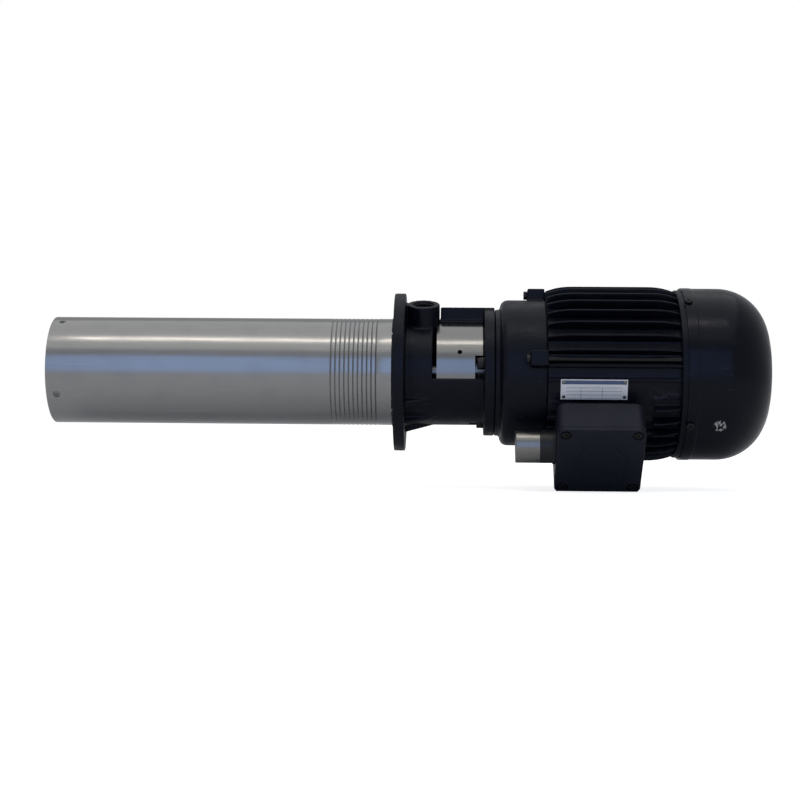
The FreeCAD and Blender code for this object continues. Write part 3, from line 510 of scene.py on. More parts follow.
@dataclass(frozen=True)
class Paint:
    """Near-black paint on a casting or on sheet."""

    color: Color
    worn: Color
    roughness: float
    grain: float
    grain_depth: float
    specks: float
    scratches: float
    chip: Axes | None = None
    gloss: float = 0.22
    sheen: Color = (0.82, 0.87, 1.0)
    scratch_color: Color = (0.09, 0.09, 0.10)
    chip_color: Color = (0.42, 0.42, 0.40)
    dust_color: Color = (0.10, 0.10, 0.105)

    def wear(self, shader: Shader) -> None:
        """Adds cloudy patches and rubbed edges.

        Args:
            shader: Material under construction.
        """
        cloud = shader.span(shader.noise(35 * MM, 4), (0.42, 0.75), (0.0, 0.55))
        shader.tint(cloud, self.worn)
        spots = shader.span(shader.noise(4 * MM, 4), (0.45, 0.7))
        rub = shader.product(shader.edges((0.53, 0.62)), spots)
        shader.tint(rub, tuple(6 * c for c in self.worn))

    def marks(self, shader: Shader) -> None:
        """Adds scratches, the chip and dust, each in patches.

        Args:
            shader: Material under construction.
        """
        low = 0.80 - self.scratches
        lines = shader.span(shader.noise(0.5 * MM, 1, (1, 30, 50)), (low, low + 0.03))
        places = shader.span(shader.noise(30 * MM, 2), (0.54, 0.62))
        shader.tint(shader.product(lines, places), self.scratch_color)
        if self.chip:
            flakes = shader.span(shader.noise(4.5 * MM, 4, (1, 1, 0.5)), (0.50, 0.53))
            place = shader.near(self.chip, 6 * MM, 8 * MM)
            shader.tint(shader.product(place, flakes), self.chip_color)
        low = 0.86 - self.specks
        dust = shader.span(shader.noise(1.2 * MM, 2), (low, low + 0.04))
        patches = shader.span(shader.noise(12 * MM, 2), (0.5, 0.62))
        shader.tint(shader.product(dust, patches), self.dust_color)

    def material(self, name: str) -> Material:
        """Builds the paint with its wear, its marks, uneven gloss and texture.

        Args:
            name: Name of the material.

        Returns:
            The material.
        """
        shader = Shader(name, self.color, 0.0, self.roughness)
        shader.surface["Specular IOR Level"].default_value = self.gloss
        shader.surface["Specular Tint"].default_value = (*self.sheen, 1)
        self.wear(shader)
        self.marks(shader)
        uneven = (self.roughness - 0.07, self.roughness + 0.1)
        shader.roughen(shader.span(shader.noise(18 * MM, 5), (0.3, 0.7), uneven))
        shader.bump(shader.noise(self.grain, 4), self.grain_depth)
        shader.bump(shader.noise(6 * self.grain, 2), 2 * self.grain_depth)
        return shader.material


@dataclass(frozen=True)
class BareMetal:
    """Unpainted metal with lines left by drawing or turning."""

    color: Color
    stain: Color
    roughness: float
    lines: Axes = (1, 1, 60)
    line_size: float = 0.9 * MM
    line_depth: float = 0.004 * MM

    def material(self, name: str) -> Material:
        """Builds the metal with its lines, stains and changes of gloss.

        Args:
            name: Name of the material.

        Returns:
            The material.
        """
        shader = Shader(name, self.color, 1.0, self.roughness)
        lines = shader.noise(self.line_size, 3, self.lines)
        stains = shader.noise(30 * MM, 5)
        shader.tint(shader.span(stains, (0.5, 0.8), (0.0, 0.5)), self.stain)
        shader.tint(shader.span(lines, (0.35, 0.7), (0.0, 0.22)), self.stain)
        uneven = (self.roughness - 0.05, self.roughness + 0.07)
        shader.roughen(shader.span(lines, (0.3, 0.7), uneven))
        shader.bump(lines, self.line_depth)
        return shader.material


@dataclass(frozen=True)
class Plain:
    """Moulded plastic, rubber, carbon, copper or plate with a fine grain."""

    color: Color
    roughness: float
    grain: float = 0.6 * MM
    grain_depth: float = 0.03 * MM
    metallic: float = 0.0

    def material(self, name: str) -> Material:
        """Builds the finish with uneven gloss and grain.

        Args:
            name: Name of the material.

        Returns:
            The material.
        """
        shader = Shader(name, self.color, self.metallic, self.roughness)
        paler = tuple(min(1.0, 1.5 * c) for c in self.color)
        shader.tint(shader.span(shader.noise(10 * MM, 3), (0.45, 0.8), (0.0, 0.4)), paler)
        uneven = (self.roughness - 0.06, self.roughness + 0.08)
        shader.roughen(shader.span(shader.noise(6 * MM, 3), (0.3, 0.7), uneven))
        shader.bump(shader.noise(self.grain, 3), self.grain_depth)
        return shader.material


EVEN = (1, 1, 1)
TURNED = (40, 40, 1)
FINISHES = {
    "tube_steel": BareMetal((0.38, 0.38, 0.375), (0.31, 0.31, 0.32), 0.20),
    "pump_cast": Paint(
        (0.003, 0.0033, 0.0075), (0.008, 0.008, 0.012), roughness=0.36,
        grain=2.6 * MM, grain_depth=0.35 * MM, specks=0.14, scratches=0.02),
    "motor_paint": Paint(
        (0.0024, 0.0027, 0.0065), (0.006, 0.006, 0.010), roughness=0.34,
        grain=2.0 * MM, grain_depth=0.16 * MM, specks=0.10, scratches=0.02),
    "cover_paint": Paint(
        (0.0020, 0.0022, 0.0060), (0.004, 0.004, 0.008), roughness=0.20,
        grain=3.5 * MM, grain_depth=0.02 * MM, specks=0.06, scratches=0.05,
        chip=(-15.2 * MM, -96.2 * MM, 359.0 * MM)),
    "box_paint": Paint(
        (0.0115, 0.0130, 0.0215), (0.011, 0.012, 0.019), roughness=0.36,
        grain=1.2 * MM, grain_depth=0.06 * MM, specks=0.08, scratches=0.05),
    "gland_plastic": Plain((0.006, 0.006, 0.008), 0.42),
    "gland_metal": BareMetal((0.29, 0.285, 0.27), (0.20, 0.20, 0.19), 0.26),
    "fan_plastic": Plain((0.02, 0.02, 0.022), 0.5),
    "screw_steel": BareMetal((0.30, 0.30, 0.29), (0.16, 0.15, 0.13), 0.33, EVEN, 2.0 * MM),
    "dark_screw": BareMetal((0.035, 0.035, 0.038), (0.07, 0.07, 0.068), 0.38, EVEN, 2.0 * MM),
    "guard_steel": BareMetal((0.30, 0.30, 0.295), (0.25, 0.25, 0.25), 0.20, (1, 1, 40), 1.2 * MM),
    "shaft_steel": BareMetal((0.45, 0.45, 0.45), (0.36, 0.36, 0.36), 0.25, TURNED),
    "core_steel": BareMetal((0.12, 0.12, 0.125), (0.08, 0.07, 0.06), 0.45, (90, 90, 1), 0.5 * MM),
    "copper": Plain((0.42, 0.16, 0.06), 0.4, 0.9 * MM, 0.2 * MM, 0.6),
    "wheel_plastic": Plain((0.30, 0.27, 0.22), 0.45),
    "stage_steel": BareMetal((0.35, 0.35, 0.35), (0.27, 0.27, 0.27), 0.3, TURNED),
    "bush_carbon": Plain((0.02, 0.02, 0.022), 0.35),
    "gasket_rubber": Plain((0.012, 0.012, 0.012), 0.7),
    "plate_aluminium": Plain((0.97, 0.97, 1.0), 0.4, 0.8 * MM, 0.01 * MM, 0.1),
    "plate_band": Plain((0.10, 0.14, 0.25), 0.4),
    "plate_line": Plain((0.08, 0.09, 0.13), 0.5),
    "terminal_plastic": Plain((0.025, 0.018, 0.014), 0.5),
    "terminal_brass": BareMetal((0.55, 0.38, 0.14), (0.35, 0.22, 0.08), 0.3, EVEN, 2.0 * MM),
}


@cache
def finish_of(key: str) -> Material:
    """Gives the material of a finish, made at the first call."""
    return FINISHES[key].material(key + "_finish")


def dress(piece: Piece, key: str) -> None:
    """Gives a whole piece one finish."""
    piece.data.materials.clear()
    piece.data.materials.append(finish_of(key))


@dataclass
class Assembly:
    """Common ground of the sub-assemblies: the frame's nodes."""

    nodes: dict[str, Piece]

    def seat(self, piece: Piece, finish: str, slot: str, *replaced: str) -> None:
        """Dresses a piece, makes it ride on the housing and hides the CAD nodes that it stands for.

        Args:
            piece: The new piece.
            finish: Key of its finish.
            slot: Material slot of the record that it belongs to; not used.
            replaced: CAD nodes that it stands for.
        """
        dress(piece, finish)
        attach(piece, HOUSING)
        if replaced:
            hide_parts(*replaced)
        log.info("%s: %d faces", piece.name, len(piece.data.polygons))


def screw_head(radius: float, height: float, place: Matrix, recess: Recess) -> Piece:
    """Makes a screw's head with its recess.

    Args:
        radius: Radius of the head.
        height: Height of the head above its seat.
        place: Placement with the head's top along local Z.
        recess: Shape of the driver's hole.

    Returns:
        The head.
    """
    edge = min(0.35 * height, 0.12 * radius)
    outline = rounded([(0, 0, 0), (radius, 0, edge / 3), (radius, height, edge), (0, height, 0)], 3)
    head = revolved("head", outline[:-1] + [(0, height)], 32, closed=False)
    depth = 0.5 * height
    levels = (height - depth, height + depth)
    if recess is Recess.SOCKET:
        tools = [prism("socket", circle(0.52 * radius, 6), levels, Matrix())]
    else:
        arm, half = 0.62 * radius, 0.11 * radius
        bar = rectangle((-arm, arm), (-half, half))
        tools = [prism("slot", bar, levels, turned(angle)) for angle in (30, 120)]
    carve(head, tools)
    head.data.transform(place)
    return head


@dataclass
class DipTube(Assembly):
    """Drawn tube with rolled rings under the flange and countersunk screws at its open end."""

    wall: float = 3.0 * MM
    outer_edge: float = 0.5 * MM
    inner_edge: float = 0.4 * MM
    ring_count: int = 11
    ring_pitch: float = 5.05 * MM
    ring_low_z: float = -70.0 * MM
    groove_depth: float = 0.75 * MM
    groove_half: float = 0.95 * MM
    groove_steps: int = 4
    screw_angle: float = 252.5
    screw_rise: float = 12.0 * MM
    screw_r: float = 3.4 * MM
    screw_h: float = 2.2 * MM
    screw_sink: float = 2.6 * MM
    hole_r: float = 3.7 * MM
    hole_reach: float = 8.0 * MM

    def outline(self, radius: float, low: float, high: float) -> Profile:
        """Gives the tube's section, with a groove for each rolled ring.

        Args:
            radius: Outer radius.
            low: Level of the open end.
            high: Level of the upper end.

        Returns:
            The section as radius and level pairs.
        """
        bore, steps = radius - self.wall, self.groove_steps
        points: Profile = [(radius - self.outer_edge, low), (radius, low + self.outer_edge)]
        for k in range(self.ring_count):
            z = self.ring_low_z + k * self.ring_pitch
            for i in range(-steps, steps + 1):
                depth = self.groove_depth * 0.5 * (1 + math.cos(math.pi * i / steps))
                points.append((radius - depth, z + self.groove_half * i / steps))
        points += [(radius, high), (bore, high)]
        return points + [(bore, low + self.inner_edge), (bore + self.inner_edge, low)]

    def build(self) -> None:
        """Builds the tube and its screws."""
        low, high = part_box("dip_tube")
        radius = high.x
        tube = revolved("tube_body", self.outline(radius, low.z, high.z), 160)
        angles = [self.screw_angle + 90 * k for k in range(4)]
        z = low.z + self.screw_rise
        centre = Vector((0, 0, z))
        reach = (radius - self.hole_reach, radius + self.hole_reach)
        hole = circle(self.hole_r, 24)
        carve(tube, [prism("hole", hole, reach, along(polar(1, a), centre)) for a in angles])
        self.seat(tube, "tube_steel", "tube_steel", "dip_tube")
        base_r = radius - self.screw_sink
        heads = [screw_head(self.screw_r, self.screw_h, along(polar(1, a), polar(base_r, a, z)),
                            Recess.SOCKET) for a in angles]
        self.seat(merge("tube_screw_heads", heads), "screw_steel", "screw_steel", "tube_screws")


@dataclass
class PumpHead(Assembly):
    """Cast flange, chamber and lantern, with its guards and the thread of the outlet."""

    voxel: float = 1.2 * MM
    port_angle: float = 152.5
    port_z: float = 32.5 * MM
    port_face_r: float = 80.5 * MM
    port_bore_r: float = 12.06 * MM
    boss_cut_r: float = 19.0 * MM
    thread_pitch: float = 1.814 * MM
    thread_turns: int = 11
    thread_h: float = 1.1 * MM
    thread_wall: float = 0.4 * MM
    guard_r: float = 57.5 * MM
    guard_t: float = 1.2 * MM
    guard_angle: float = 190.5
    guard_span: float = 83.2
    notch_span: float = 26.0
    notch_z: float = 91.0 * MM
    hole_angle: float = 202.0
    hole_z: float = 74.0 * MM
    hole_r: float = 2.6 * MM
    cap_ring_r: float = 57.5 * MM
    cap_r: float = 6.5 * MM
    cap_h: float = 8.0 * MM
    shank_r: float = 4.0 * MM
    shank_len: float = 12.0 * MM

    def build(self) -> None:
        """Builds the casting, the thread, the guards and the face screws."""
        casting = cast_copy("head_casting", self.nodes["pump_head"], self.voxel, 3, SKIN_SIDES)
        self.seat(casting, "pump_cast", "pump_cast", "pump_head")
        self.seat(self.thread(), "pump_cast", "pump_cast")
        self.seat(self.guards(), "guard_steel", "guard_steel", "coupling_guards")
        self.seat(self.face_screws(), "dark_screw", "screw_steel", "face_screws")

    def port_place(self, reach: float) -> Matrix:
        """Gives the outlet's axes, from a distance off the shaft outwards."""
        return along(polar(1, self.port_angle), polar(reach, self.port_angle, self.port_z))

    def notch(self, end: float) -> Profile:
        """Gives the outline that takes a sheet's last corner off.

        Args:
            end: Angle of the sheet's end.

        Returns:
            The outline, whose inner side is a chord and so starts deeper at its end.
        """
        inner, outer = self.guard_r - self.guard_t, self.guard_r + 8 * MM
        start, past = end - self.notch_span, end + 1
        corners = ((inner - MM, start), (outer, start), (outer, past), (inner - 6 * MM, past))
        return [tuple(polar(r, a)[:2]) for r, a in corners]

    def guards(self) -> Piece:
        """Makes the two bent sheets, notched and drilled, the first clear of the outlet's boss.

        Returns:
            Both sheets as one piece.
        """
        rows, columns = 20, 60
        low, high = levels_of("coupling_guards")
        inner = self.guard_r - self.guard_t
        levels = [low + (high - low) * k / rows for k in range(rows + 1)]
        section = [(inner, z) for z in levels] + [(self.guard_r, z) for z in levels[::-1]]
        sheets = []
        for turn in (0, 180):
            start = self.guard_angle + turn - self.guard_span / 2
            angles = [start + self.guard_span * k / columns for k in range(columns + 1)]
            sheet = lofted("sheet", [[polar(r, a, z) for r, z in section] for a in angles])
            notch = self.notch(start + self.guard_span)
            place = along(polar(1, self.hole_angle + turn), Vector((0, 0, self.hole_z)))
            tools = [prism("notch", notch, (self.notch_z, high + MM), Matrix()),
                     prism("hole", circle(self.hole_r, 24), (inner - MM, self.guard_r + MM), place)]
            if not turn:
                reach = (inner - 9 * MM, self.port_face_r)
                tools.append(prism("boss", circle(self.boss_cut_r, 48), reach, self.port_place(0)))
            sheets.append(carve(sheet, tools))
        return merge("lantern_guards", sheets)

    def thread(self) -> Piece:
        """Makes the ridges of the outlet's thread.

        Returns:
            The threaded ring.
        """
        pitch = self.thread_pitch
        crest, outer = self.port_bore_r - self.thread_h, self.port_bore_r + self.thread_wall
        points: Profile = [(self.port_bore_r, 0.0)]
        for k in range(self.thread_turns):
            z = k * pitch
            points += [(crest, z + 0.5 * pitch), (self.port_bore_r, z + pitch)]
        points += [(outer, self.thread_turns * pitch), (outer, 0.0)]
        base = self.port_face_r - (self.thread_turns + 1) * pitch
        return revolved("outlet_thread", points, 64, place=self.port_place(base))

    def face_screws(self) -> Piece:
        """Makes the cap screws under the lantern's upper flange.

        Returns:
            The four screws as one piece.
        """
        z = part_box("face_screws")[0].z + self.cap_h
        shank = [(0, 0), (self.shank_r, 0), (self.shank_r, self.shank_len), (0, self.shank_len)]
        screws = []
        for k in range(4):
            base = polar(self.cap_ring_r, LUG_ANGLE + 90 * k, z)
            place = along(-SHAFT, base)
            screws.append(screw_head(self.cap_r, self.cap_h, place, Recess.SOCKET))
            screws.append(revolved("shank", shank, 24, False, Matrix.Translation(base)))
        return merge("face_cap_screws", screws)


@dataclass
class Barrel:
    """Finned barrel of the motor, with its pad, its neck and the room for the box.

    The fin's section is in millimetres: half widths with their height over the root, then half
    widths with their depth under the tip.
    """

    fin_foot: tuple[Range, ...] = ((3.4, 0.0), (2.4, 0.25), (1.75, 1.3))
    fin_crest: tuple[Range, ...] = ((1.3, 1.6), (1.05, 0.5), (0.55, 0.08))
    fin_count: int = 36
    fin_root_r: float = 86.0 * MM
    fin_tip_r: float = 99.0 * MM
    fin_end_r: float = 93.5 * MM
    bore_r: float = 80.1 * MM
    first_fin: float = 270.0
    crown: float = 30.0 * MM
    crown_power: float = 2.2
    pad_reach: float = 60.0 * MM
    pad_len: float = 116.0 * MM
    box_cut_h: float = 94.6 * MM
    box_room: float = 2.0 * MM
    stations: int = 26
    sharp: float = 14.0

    def tip_radius(self, z: float, low: float, high: float) -> float:
        """Gives the fins' height at a level: full in the middle, rounded down at both ends."""
        reach = max(0.0, 1.0 - min(z - low, high - z) / self.crown)
        return self.fin_tip_r - (self.fin_tip_r - self.fin_end_r) * reach ** self.crown_power

    def fin_loop(self, z: float, tip: float) -> list[Vector]:
        """Gives the barrel's outline at a level.

        Args:
            z: The level.
            tip: Radius of the fins' tips there.

        Returns:
            The outline's points, once round the shaft.
        """
        root = self.fin_root_r
        half = [(-t, root + h * MM) for t, h in self.fin_foot]
        half += [(-t, tip - d * MM) for t, d in self.fin_crest]
        section = half + [(0.0, tip)] + [(-t, r) for t, r in half[::-1]]
        loop = []
        for k in range(self.fin_count):
            axis = self.first_fin + 360 * k / self.fin_count
            loop.append(polar(root, axis - 180 / self.fin_count, z))
            loop += [polar(r, axis + math.degrees(t * MM / r), z) for t, r in section]
        return loop

    def cutter(self, turn: Matrix, low: Axes, high: Axes) -> Piece:
        """Makes a block between two corners, then turns it about the shaft."""
        outline = rectangle((low[0], high[0]), (low[1], high[1]))
        return prism("block", outline, (low[2], high[2]), turn)

    def build(self) -> Piece:
        """Builds the barrel.

        Returns:
            The barrel.
        """
        low, high = levels_of("stator_frame")
        loops = []
        for i in range(self.stations + 1):
            z = low + (high - low) * 0.5 * (1 - math.cos(math.pi * i / self.stations))
            loops.append(self.fin_loop(z, self.tip_radius(z, low, high)))
        turns = [math.degrees(math.atan2(p.y, p.x)) for p in loops[0]]
        loops += [[polar(self.bore_r, turn, z) for turn in turns] for z in (high, low)]
        barrel = lofted("motor_barrel", loops, ring=True)
        pad, deep, base = turned(PAD_ANGLE), 3 * self.pad_reach, (PAD_H, -self.pad_reach, low - MM)
        wide = self.cutter(pad, base, (deep, self.pad_reach, low + self.pad_len))
        narrow = self.cutter(pad, base, (deep, 0.0, high + MM))
        box_low, box_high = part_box("terminal_box")
        room = self.cutter(
            Matrix(), (box_low.x - self.box_room, -2 * self.fin_tip_r, low - MM),
            (box_high.x + self.box_room, -self.box_cut_h, box_high.z + self.box_room))
        carve(barrel, [wide, narrow, room])
        neck_low, neck_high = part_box("box_gasket")
        neck = self.cutter(Matrix(), (neck_low.x, neck_high.y, neck_low.z),
                           (neck_high.x, -PAD_H, neck_high.z))
        carve(barrel, [neck], join=True)
        shade(barrel.data, self.sharp)
        return barrel


@dataclass
class FanCover:
    """Pressed cover over the fan, with its lip, large corner and slotted end."""

    bead: float = 0.5 * MM
    bead_h: float = 11.0 * MM
    sheet: float = 1.6 * MM
    corner: float = 57.0 * MM
    flat_r: float = 25.0 * MM
    slot_count: int = 12
    slot_in: float = 15.0 * MM
    slot_out: float = 37.0 * MM
    slot_half: float = 2.5 * MM
    slot_round: float = 2.4 * MM
    chords: int = 16

    def outline(self, low: float, lip: float, top: float) -> Profile:
        """Gives the cover's section.

        Args:
            low: Level of the lip's rim.
            lip: Radius of the lip.
            top: Level of the slotted end.

        Returns:
            The section as radius and level pairs.
        """
        radius, lip_top = lip - self.bead, low + self.bead_h
        outer = rounded([(lip - 0.3 * MM, low, 0), (lip, low + 0.8 * MM, 0),
                         (lip, lip_top, 0.5 * MM), (radius, lip_top + 0.9 * MM, 0.6 * MM),
                         (radius, top, self.corner), (self.flat_r, top, 0)], self.chords)
        bore, ceiling = radius - self.sheet, top - self.sheet
        inner = rounded([(self.flat_r, ceiling, 0), (bore, ceiling, self.corner - self.sheet),
                         (bore, low, 0)], self.chords)
        return outer + [(0, top), (0, ceiling)] + inner

    def build(self) -> Piece:
        """Builds the cover.

        Returns:
            The cover.
        """
        low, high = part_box("fan_cover")
        cover = revolved("fan_cowl", self.outline(low.z, high.x, high.z), 160)
        sides = rectangle((self.slot_in, self.slot_out), (-self.slot_half, self.slot_half))
        slot = rounded([(x, y, self.slot_round) for x, y in sides], 3)
        levels = (high.z - 9 * MM, high.z + 5 * MM)
        turns = [turned(360 * k / self.slot_count) for k in range(self.slot_count)]
        return carve(cover, [prism("slot", slot, levels, turn) for turn in turns])


@dataclass
class Motor(Assembly):
    """Endshields, finned barrel, fan cover and their screws."""

    bell_voxel: float = 1.1 * MM
    shield_voxel: float = 1.2 * MM
    bolt_edge: float = 0.3 * MM
    screw_r: float = 4.4 * MM
    screw_h: float = 2.5 * MM

    def cover_screws(self) -> Piece:
        """Makes the cross-head screws of the fan cover.

        Returns:
            The four heads as one piece.
        """
        low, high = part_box("cover_screws")
        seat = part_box("fan_cover")[1].x
        heads = []
        for k in range(4):
            angle = LUG_ANGLE + 45 + 90 * k
            place = along(polar(1, angle), polar(seat, angle, (low.z + high.z) / 2))
            heads.append(screw_head(self.screw_r, self.screw_h, place, Recess.CROSS))
        return merge("cowl_screws", heads)

    def build(self) -> None:
        """Builds the motor's outer pieces."""
        bell = cast_copy("front_bell", self.nodes["front_endshield"], self.bell_voxel, 6,
                         SKIN_SIDES)
        self.seat(bell, "motor_paint", "motor_paint", "front_endshield")
        self.seat(Barrel().build(), "motor_paint", "motor_paint", "stator_frame")
        shield = cast_copy("rear_shield", self.nodes["rear_endshield"], self.shield_voxel, 3,
                           SKIN_SIDES)
        self.seat(shield, "motor_paint", "motor_paint", "rear_endshield")
        self.seat(FanCover().build(), "cover_paint", "cover_paint", "fan_cover")
        bolts = bevelled_copy("long_bolts", self.nodes["through_bolts"], self.bolt_edge)
        self.seat(bolts, "dark_screw", "screw_steel", "through_bolts")
        self.seat(self.cover_screws(), "dark_screw", "screw_steel", "cover_screws")


@dataclass
class TerminalBox(Assembly):
    """Deep box with its lid, lid screws, plain round groove and cable gland."""

    box_voxel: float = 0.9 * MM
    lid_voxel: float = 0.7 * MM
    ring_r: float = 27.0 * MM
    ring_z: float = 228.0 * MM
    ring_w: float = 1.6 * MM
    ring_flare: float = 0.6 * MM
    ring_depth: float = 0.5 * MM
    screw_r: float = 4.2 * MM
    screw_h: float = 2.3 * MM
    gland_bore: float = 8.5 * MM
    gland_thread: float = 10.4 * MM
    gland_wide: float = 19.5 * MM
    gland_narrow: float = 18.3 * MM
    gland_seat: float = 3.0 * MM

    def build(self) -> None:
        """Builds the box, the lid, the screws and the gland."""
        box = cast_copy("box_body", self.nodes["terminal_box"], self.box_voxel, 3)
        self.seat(box, "box_paint", "box_paint", "terminal_box")
        self.seat(self.lid(), "box_paint", "box_paint", "box_lid")
        self.seat(self.lid_screws(), "dark_screw", "screw_steel", "lid_screws")
        self.gland()

    def lid(self) -> Piece:
        """Makes the lid, with a plain round groove on its face.

        Returns:
            The lid.
        """
        lid = cast_copy("box_cap", self.nodes["box_lid"], self.lid_voxel, 4)
        face = Vector((0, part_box("box_lid")[0].y, self.ring_z))
        inner, outer, depth = self.ring_r, self.ring_r + self.ring_w, self.ring_depth
        section = [(inner, -depth), (outer, -depth), (outer + self.ring_flare, depth),
                   (inner - self.ring_flare, depth)]
        return carve(lid, [revolved("groove", section, 96, place=along(OUT_OF_LID, face))])

    def lid_screws(self) -> Piece:
        """Makes the cross-head screws in the lid's corners.

        Returns:
            The four heads as one piece.
        """
        low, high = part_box("lid_screws")
        heads = []
        for x in (low.x + self.screw_r, high.x - self.screw_r):
            for z in (low.z + self.screw_r, high.z - self.screw_r):
                place = along(OUT_OF_LID, Vector((x, low.y + self.screw_h, z)))
                heads.append(screw_head(self.screw_r, self.screw_h, place, Recess.CROSS))
        return merge("lid_screw_heads", heads)

    def gland(self) -> None:
        """Makes the gland's seat, nut and bright sleeve."""
        low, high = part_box("gland_body")
        place = Matrix.Translation((0, (low.y + high.y) / 2, 0))
        bore, thread = self.gland_bore, self.gland_thread
        wide, narrow = self.gland_wide, self.gland_narrow
        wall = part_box("terminal_box")[0].z
        seat = wall - self.gland_seat
        outline = rounded([(bore, low.z, 0), (narrow, low.z, 0.8 * MM), (narrow, seat, 0.4 * MM),
                           (wide, seat, 0.8 * MM), (wide, wall, 0.3 * MM), (thread, wall, 0),
                           (thread, high.z, 0.4 * MM), (bore, high.z, 0)], 4)
        nut = revolved("gland_nut", outline, 64, place=place)
        self.seat(nut, "gland_plastic", "gland_plastic", "gland_body")
        low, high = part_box("gland_sleeve")
        outline = rounded([(bore, low.z, 0.3 * MM), (high.x, low.z, 0.8 * MM),
                           (high.x, high.z, 0.3 * MM), (bore, high.z, 0)], 4)
        sleeve = revolved("cable_sleeve", outline, 96, place=place)
        self.seat(sleeve, "gland_metal", "gland_metal", "gland_sleeve")


@dataclass
class NamePlate(Assembly):
    """Blank plate with a coloured header band, empty rules and rivets."""

    thickness: float = 0.8 * MM
    print_t: float = 0.03 * MM
    upper_y: float = -22.5 * MM
    lower_y: float = 0.5 * MM
    inset: float = 1.0 * MM
    band_w: float = 5.5 * MM
    rows: int = 4
    columns: Range = (0.3, 0.62)
    rule: float = 0.35 * MM
    rule_inset: float = 6.0 * MM
    rivet_edge: float = 0.25 * MM

    @property
    def band_end(self) -> float:
        """Where the header band ends across the plate."""
        return self.upper_y + self.band_w

    def field(self, name: str, depth: Range, across: Range, levels: Range) -> Piece:
        """Makes a flat block on the pad, from its reach off the shaft, across and along it."""
        return prism(name, rectangle(depth, across), levels, turned(PAD_ANGLE))

    def rules(self, ink: Range, low: float, high: float) -> Piece:
        """Makes the empty rules.

        Args:
            ink: Distances of the print's two faces from the shaft.
            low: Level of the plate's lower end.
            high: Level of its upper end.

        Returns:
            All rules as one piece.
        """
        end = self.lower_y - self.inset
        row = (end - self.band_end) / self.rows
        reach = (low + self.rule_inset, high - self.rule_inset)
        lines = []
        for k in range(1, self.rows + 1):
            y = self.band_end + k * row
            lines.append(self.field("rule", ink, (y - self.rule, y), reach))
        for share in self.columns:
            z = low + share * (high - low)
            lines.append(self.field("rule", ink, (self.band_end + row, end), (z, z + self.rule)))
        return merge("blank_rules", lines)

    def build(self) -> None:
        """Builds the plate, its band, its empty rules and its rivets."""
        low, high = levels_of("nameplate")
        face = PAD_H + self.thickness
        ink = (face, face + self.print_t)
        plate = self.field("type_plate", (PAD_H, face), (self.upper_y, self.lower_y), (low, high))
        self.seat(plate, "plate_aluminium", "plate_aluminium", "nameplate")
        band = self.field("header_band", ink, (self.upper_y + self.inset, self.band_end),
                          (low + self.inset, high - self.inset))
        self.seat(band, "plate_band", "plate_aluminium")
        self.seat(self.rules(ink, low, high), "plate_line", "plate_aluminium")
        rivets = bevelled_copy("plate_rivet_heads", self.nodes["plate_rivets"], self.rivet_edge)
        self.seat(rivets, "screw_steel", "screw_steel", "plate_rivets")


@dataclass(frozen=True)
class Lamp:
    """A soft area lamp that faces the pump, long along the shaft."""

    name: str
    up: float
    front: float
    far: float
    size: tuple[float, float]
    power: float
    color: Color

    def hang(self, image_up: Vector, toward_camera: Vector) -> None:
        """Hangs the lamp.

        Args:
            image_up: Direction that is up in the photograph.
            toward_camera: Direction from the pump to the camera.
        """
        data = bpy.data.lights.new(self.name, "AREA")
        data.shape = "RECTANGLE"
        data.size, data.size_y = self.size
        data.energy = self.power
        data.color = self.color
        lamp = bpy.data.objects.new(self.name, data)
        z = (image_up * self.up + toward_camera * self.front).normalized()
        y = z.cross(SHAFT).normalized()
        rotation = Matrix((SHAFT, y, z)).transposed().to_4x4()
        lamp.matrix_world = Matrix.Translation(z * self.far) @ rotation
        bpy.context.scene.collection.objects.link(lamp)


LAMPS = (
    Lamp("ceiling", 1.0, 0.0, 2.2, (3.0, 4.4), power=15.0, color=(1.0, 0.98, 0.96)),
    Lamp("strip_lamp", 0.94, 0.34, 2.15, (1.6, 0.25), power=3.4, color=(1.0, 0.92, 0.82)),
    Lamp("window", 0.05, 1.0, 2.6, (2.4, 2.7), power=13.0, color=(0.24, 0.46, 1.0)),
)


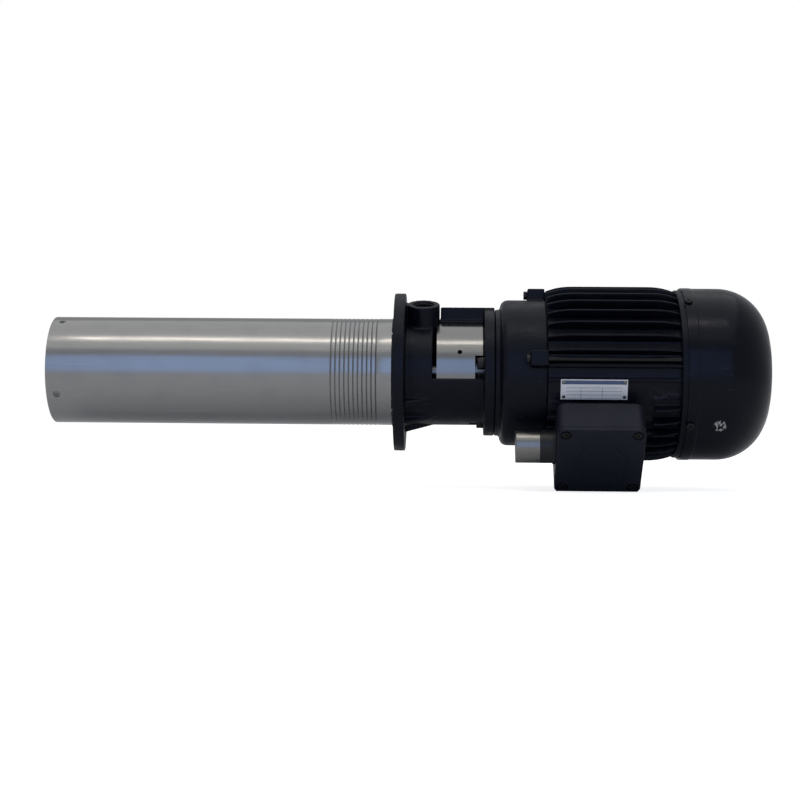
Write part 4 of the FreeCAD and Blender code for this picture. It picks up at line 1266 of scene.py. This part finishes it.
@dataclass
class Stage:
    """Floor, soft lamps and the camera of the photograph."""

    toward_camera: Vector = Vector((-0.713, -0.701, 0.0))
    image_up: Vector = Vector((-0.701, 0.713, 0.0))
    aim_z: float = 6.0 * MM
    aim_up: float = -32.0 * MM
    distance: float = 1.93
    lens: float = 75.7
    sensor: float = 36.0
    yaw: float = 1.8
    roll: float = 0.45
    floor_drop: float = 131.5 * MM
    floor_half: float = 6.0
    floor_color: Color = (0.86, 0.86, 0.86)
    floor_glow: float = 0.8
    surround: Color = (0.93, 0.96, 1.0)
    surround_level: float = 0.38

    def camera(self) -> None:
        """Places the camera where the photograph was taken from."""
        yaw = Matrix.Rotation(math.radians(self.yaw), 3, self.image_up)
        back = yaw @ self.toward_camera.normalized()
        right = self.image_up.cross(back).normalized()
        up = back.cross(right).normalized()
        roll = Matrix.Rotation(math.radians(self.roll), 3, back)
        rotation = Matrix((roll @ right, roll @ up, back)).transposed().to_4x4()
        data = bpy.data.cameras.new("camera")
        data.lens = self.lens
        data.sensor_width = self.sensor
        camera = bpy.data.objects.new("camera", data)
        aim = SHAFT * self.aim_z + self.image_up * self.aim_up
        camera.matrix_world = Matrix.Translation(aim + back * self.distance) @ rotation
        bpy.context.scene.collection.objects.link(camera)
        bpy.context.scene.camera = camera

    def backdrop(self) -> Material:
        """Makes the pale floor's finish: white to the camera, with the pump's shadow kept.

        Returns:
            The material, which is clear from below.
        """
        material = bpy.data.materials.new("studio_floor")
        material.use_nodes = True
        tree = material.node_tree
        tree.nodes.clear()
        color = (*self.floor_color, 1)
        diffuse = add_node(tree, "BsdfDiffuse", {"Color": color}).outputs[0]
        glow = add_node(tree, "Emission", {"Strength": self.floor_glow}).outputs[0]
        lit = add_node(tree, "AddShader", {0: diffuse, 1: glow}).outputs[0]
        camera_ray = add_node(tree, "LightPath", {}).outputs["Is Camera Ray"]
        seen = add_node(tree, "MixShader", {0: camera_ray, 1: diffuse, 2: lit}).outputs[0]
        below = add_node(tree, "NewGeometry", {}).outputs["Backfacing"]
        clear = add_node(tree, "BsdfTransparent", {}).outputs[0]
        faces = add_node(tree, "MixShader", {0: below, 1: seen, 2: clear}).outputs[0]
        add_node(tree, "OutputMaterial", {"Surface": faces})
        return material

    def floor(self) -> None:
        """Lays the floor under the pump as the photograph shows it, below the box."""
        up = self.image_up.normalized()
        across = up.cross(SHAFT) * self.floor_half
        shaft = SHAFT * self.floor_half
        signs = ((-1, -1), (1, -1), (1, 1), (-1, 1))
        bm = bmesh.new()
        corners = [across * a + shaft * b - up * self.floor_drop for a, b in signs]
        face = bm.faces.new([bm.verts.new(corner) for corner in corners])
        face.normal_update()
        if face.normal.dot(up) < 0:
            face.normal_flip()
        mesh = bpy.data.meshes.new("floor")
        bm.to_mesh(mesh)
        bm.free()
        floor = bpy.data.objects.new("floor", mesh)
        bpy.context.scene.collection.objects.link(floor)
        floor.data.materials.append(self.backdrop())

    def world(self) -> None:
        """Sets an even pale surround that shows white behind the pump."""
        world = bpy.data.worlds.new("studio")
        bpy.context.scene.world = world
        world.use_nodes = True
        tree = world.node_tree
        ambient = tree.nodes["Background"]
        ambient.inputs["Color"].default_value = (*self.surround, 1)
        ambient.inputs["Strength"].default_value = self.surround_level
        white = add_node(tree, "Background", {"Color": (1, 1, 1, 1)}).outputs[0]
        path = add_node(tree, "LightPath", {}).outputs
        rays = {0: path["Is Camera Ray"], 1: path["Is Transmission Ray"]}
        seen = add_node(tree, "Math", rays, "MAXIMUM").outputs[0]
        mix = add_node(tree, "MixShader", {0: seen, 1: ambient.outputs[0], 2: white}).outputs[0]
        tree.links.new(mix, tree.nodes["World Output"].inputs["Surface"])

    def build(self) -> None:
        """Sets up the whole stage."""
        self.camera()
        self.floor()
        self.world()
        for lamp in LAMPS:
            lamp.hang(self.image_up, self.toward_camera)
        bpy.context.scene.view_settings.view_transform = "Standard"


def dress_inner_nodes(record: dict, nodes: dict[str, Piece]) -> None:
    """Gives every CAD node the finish of its material slot."""
    for part in record["subparts"]:
        dress(nodes[part["node"]], part["material_slot"])


def main() -> None:
    """Builds the stage and each sub-assembly in order."""
    logging.basicConfig(level=logging.INFO, format="%(name)s %(message)s")
    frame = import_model()
    dress_inner_nodes(frame["record"], frame["nodes"])
    Stage().build()
    for kind in (DipTube, PumpHead, Motor, TerminalBox, NamePlate):
        kind(frame["nodes"]).build()
        log.info("%s done", kind.__name__)


if __name__ == "__main__":
    main()
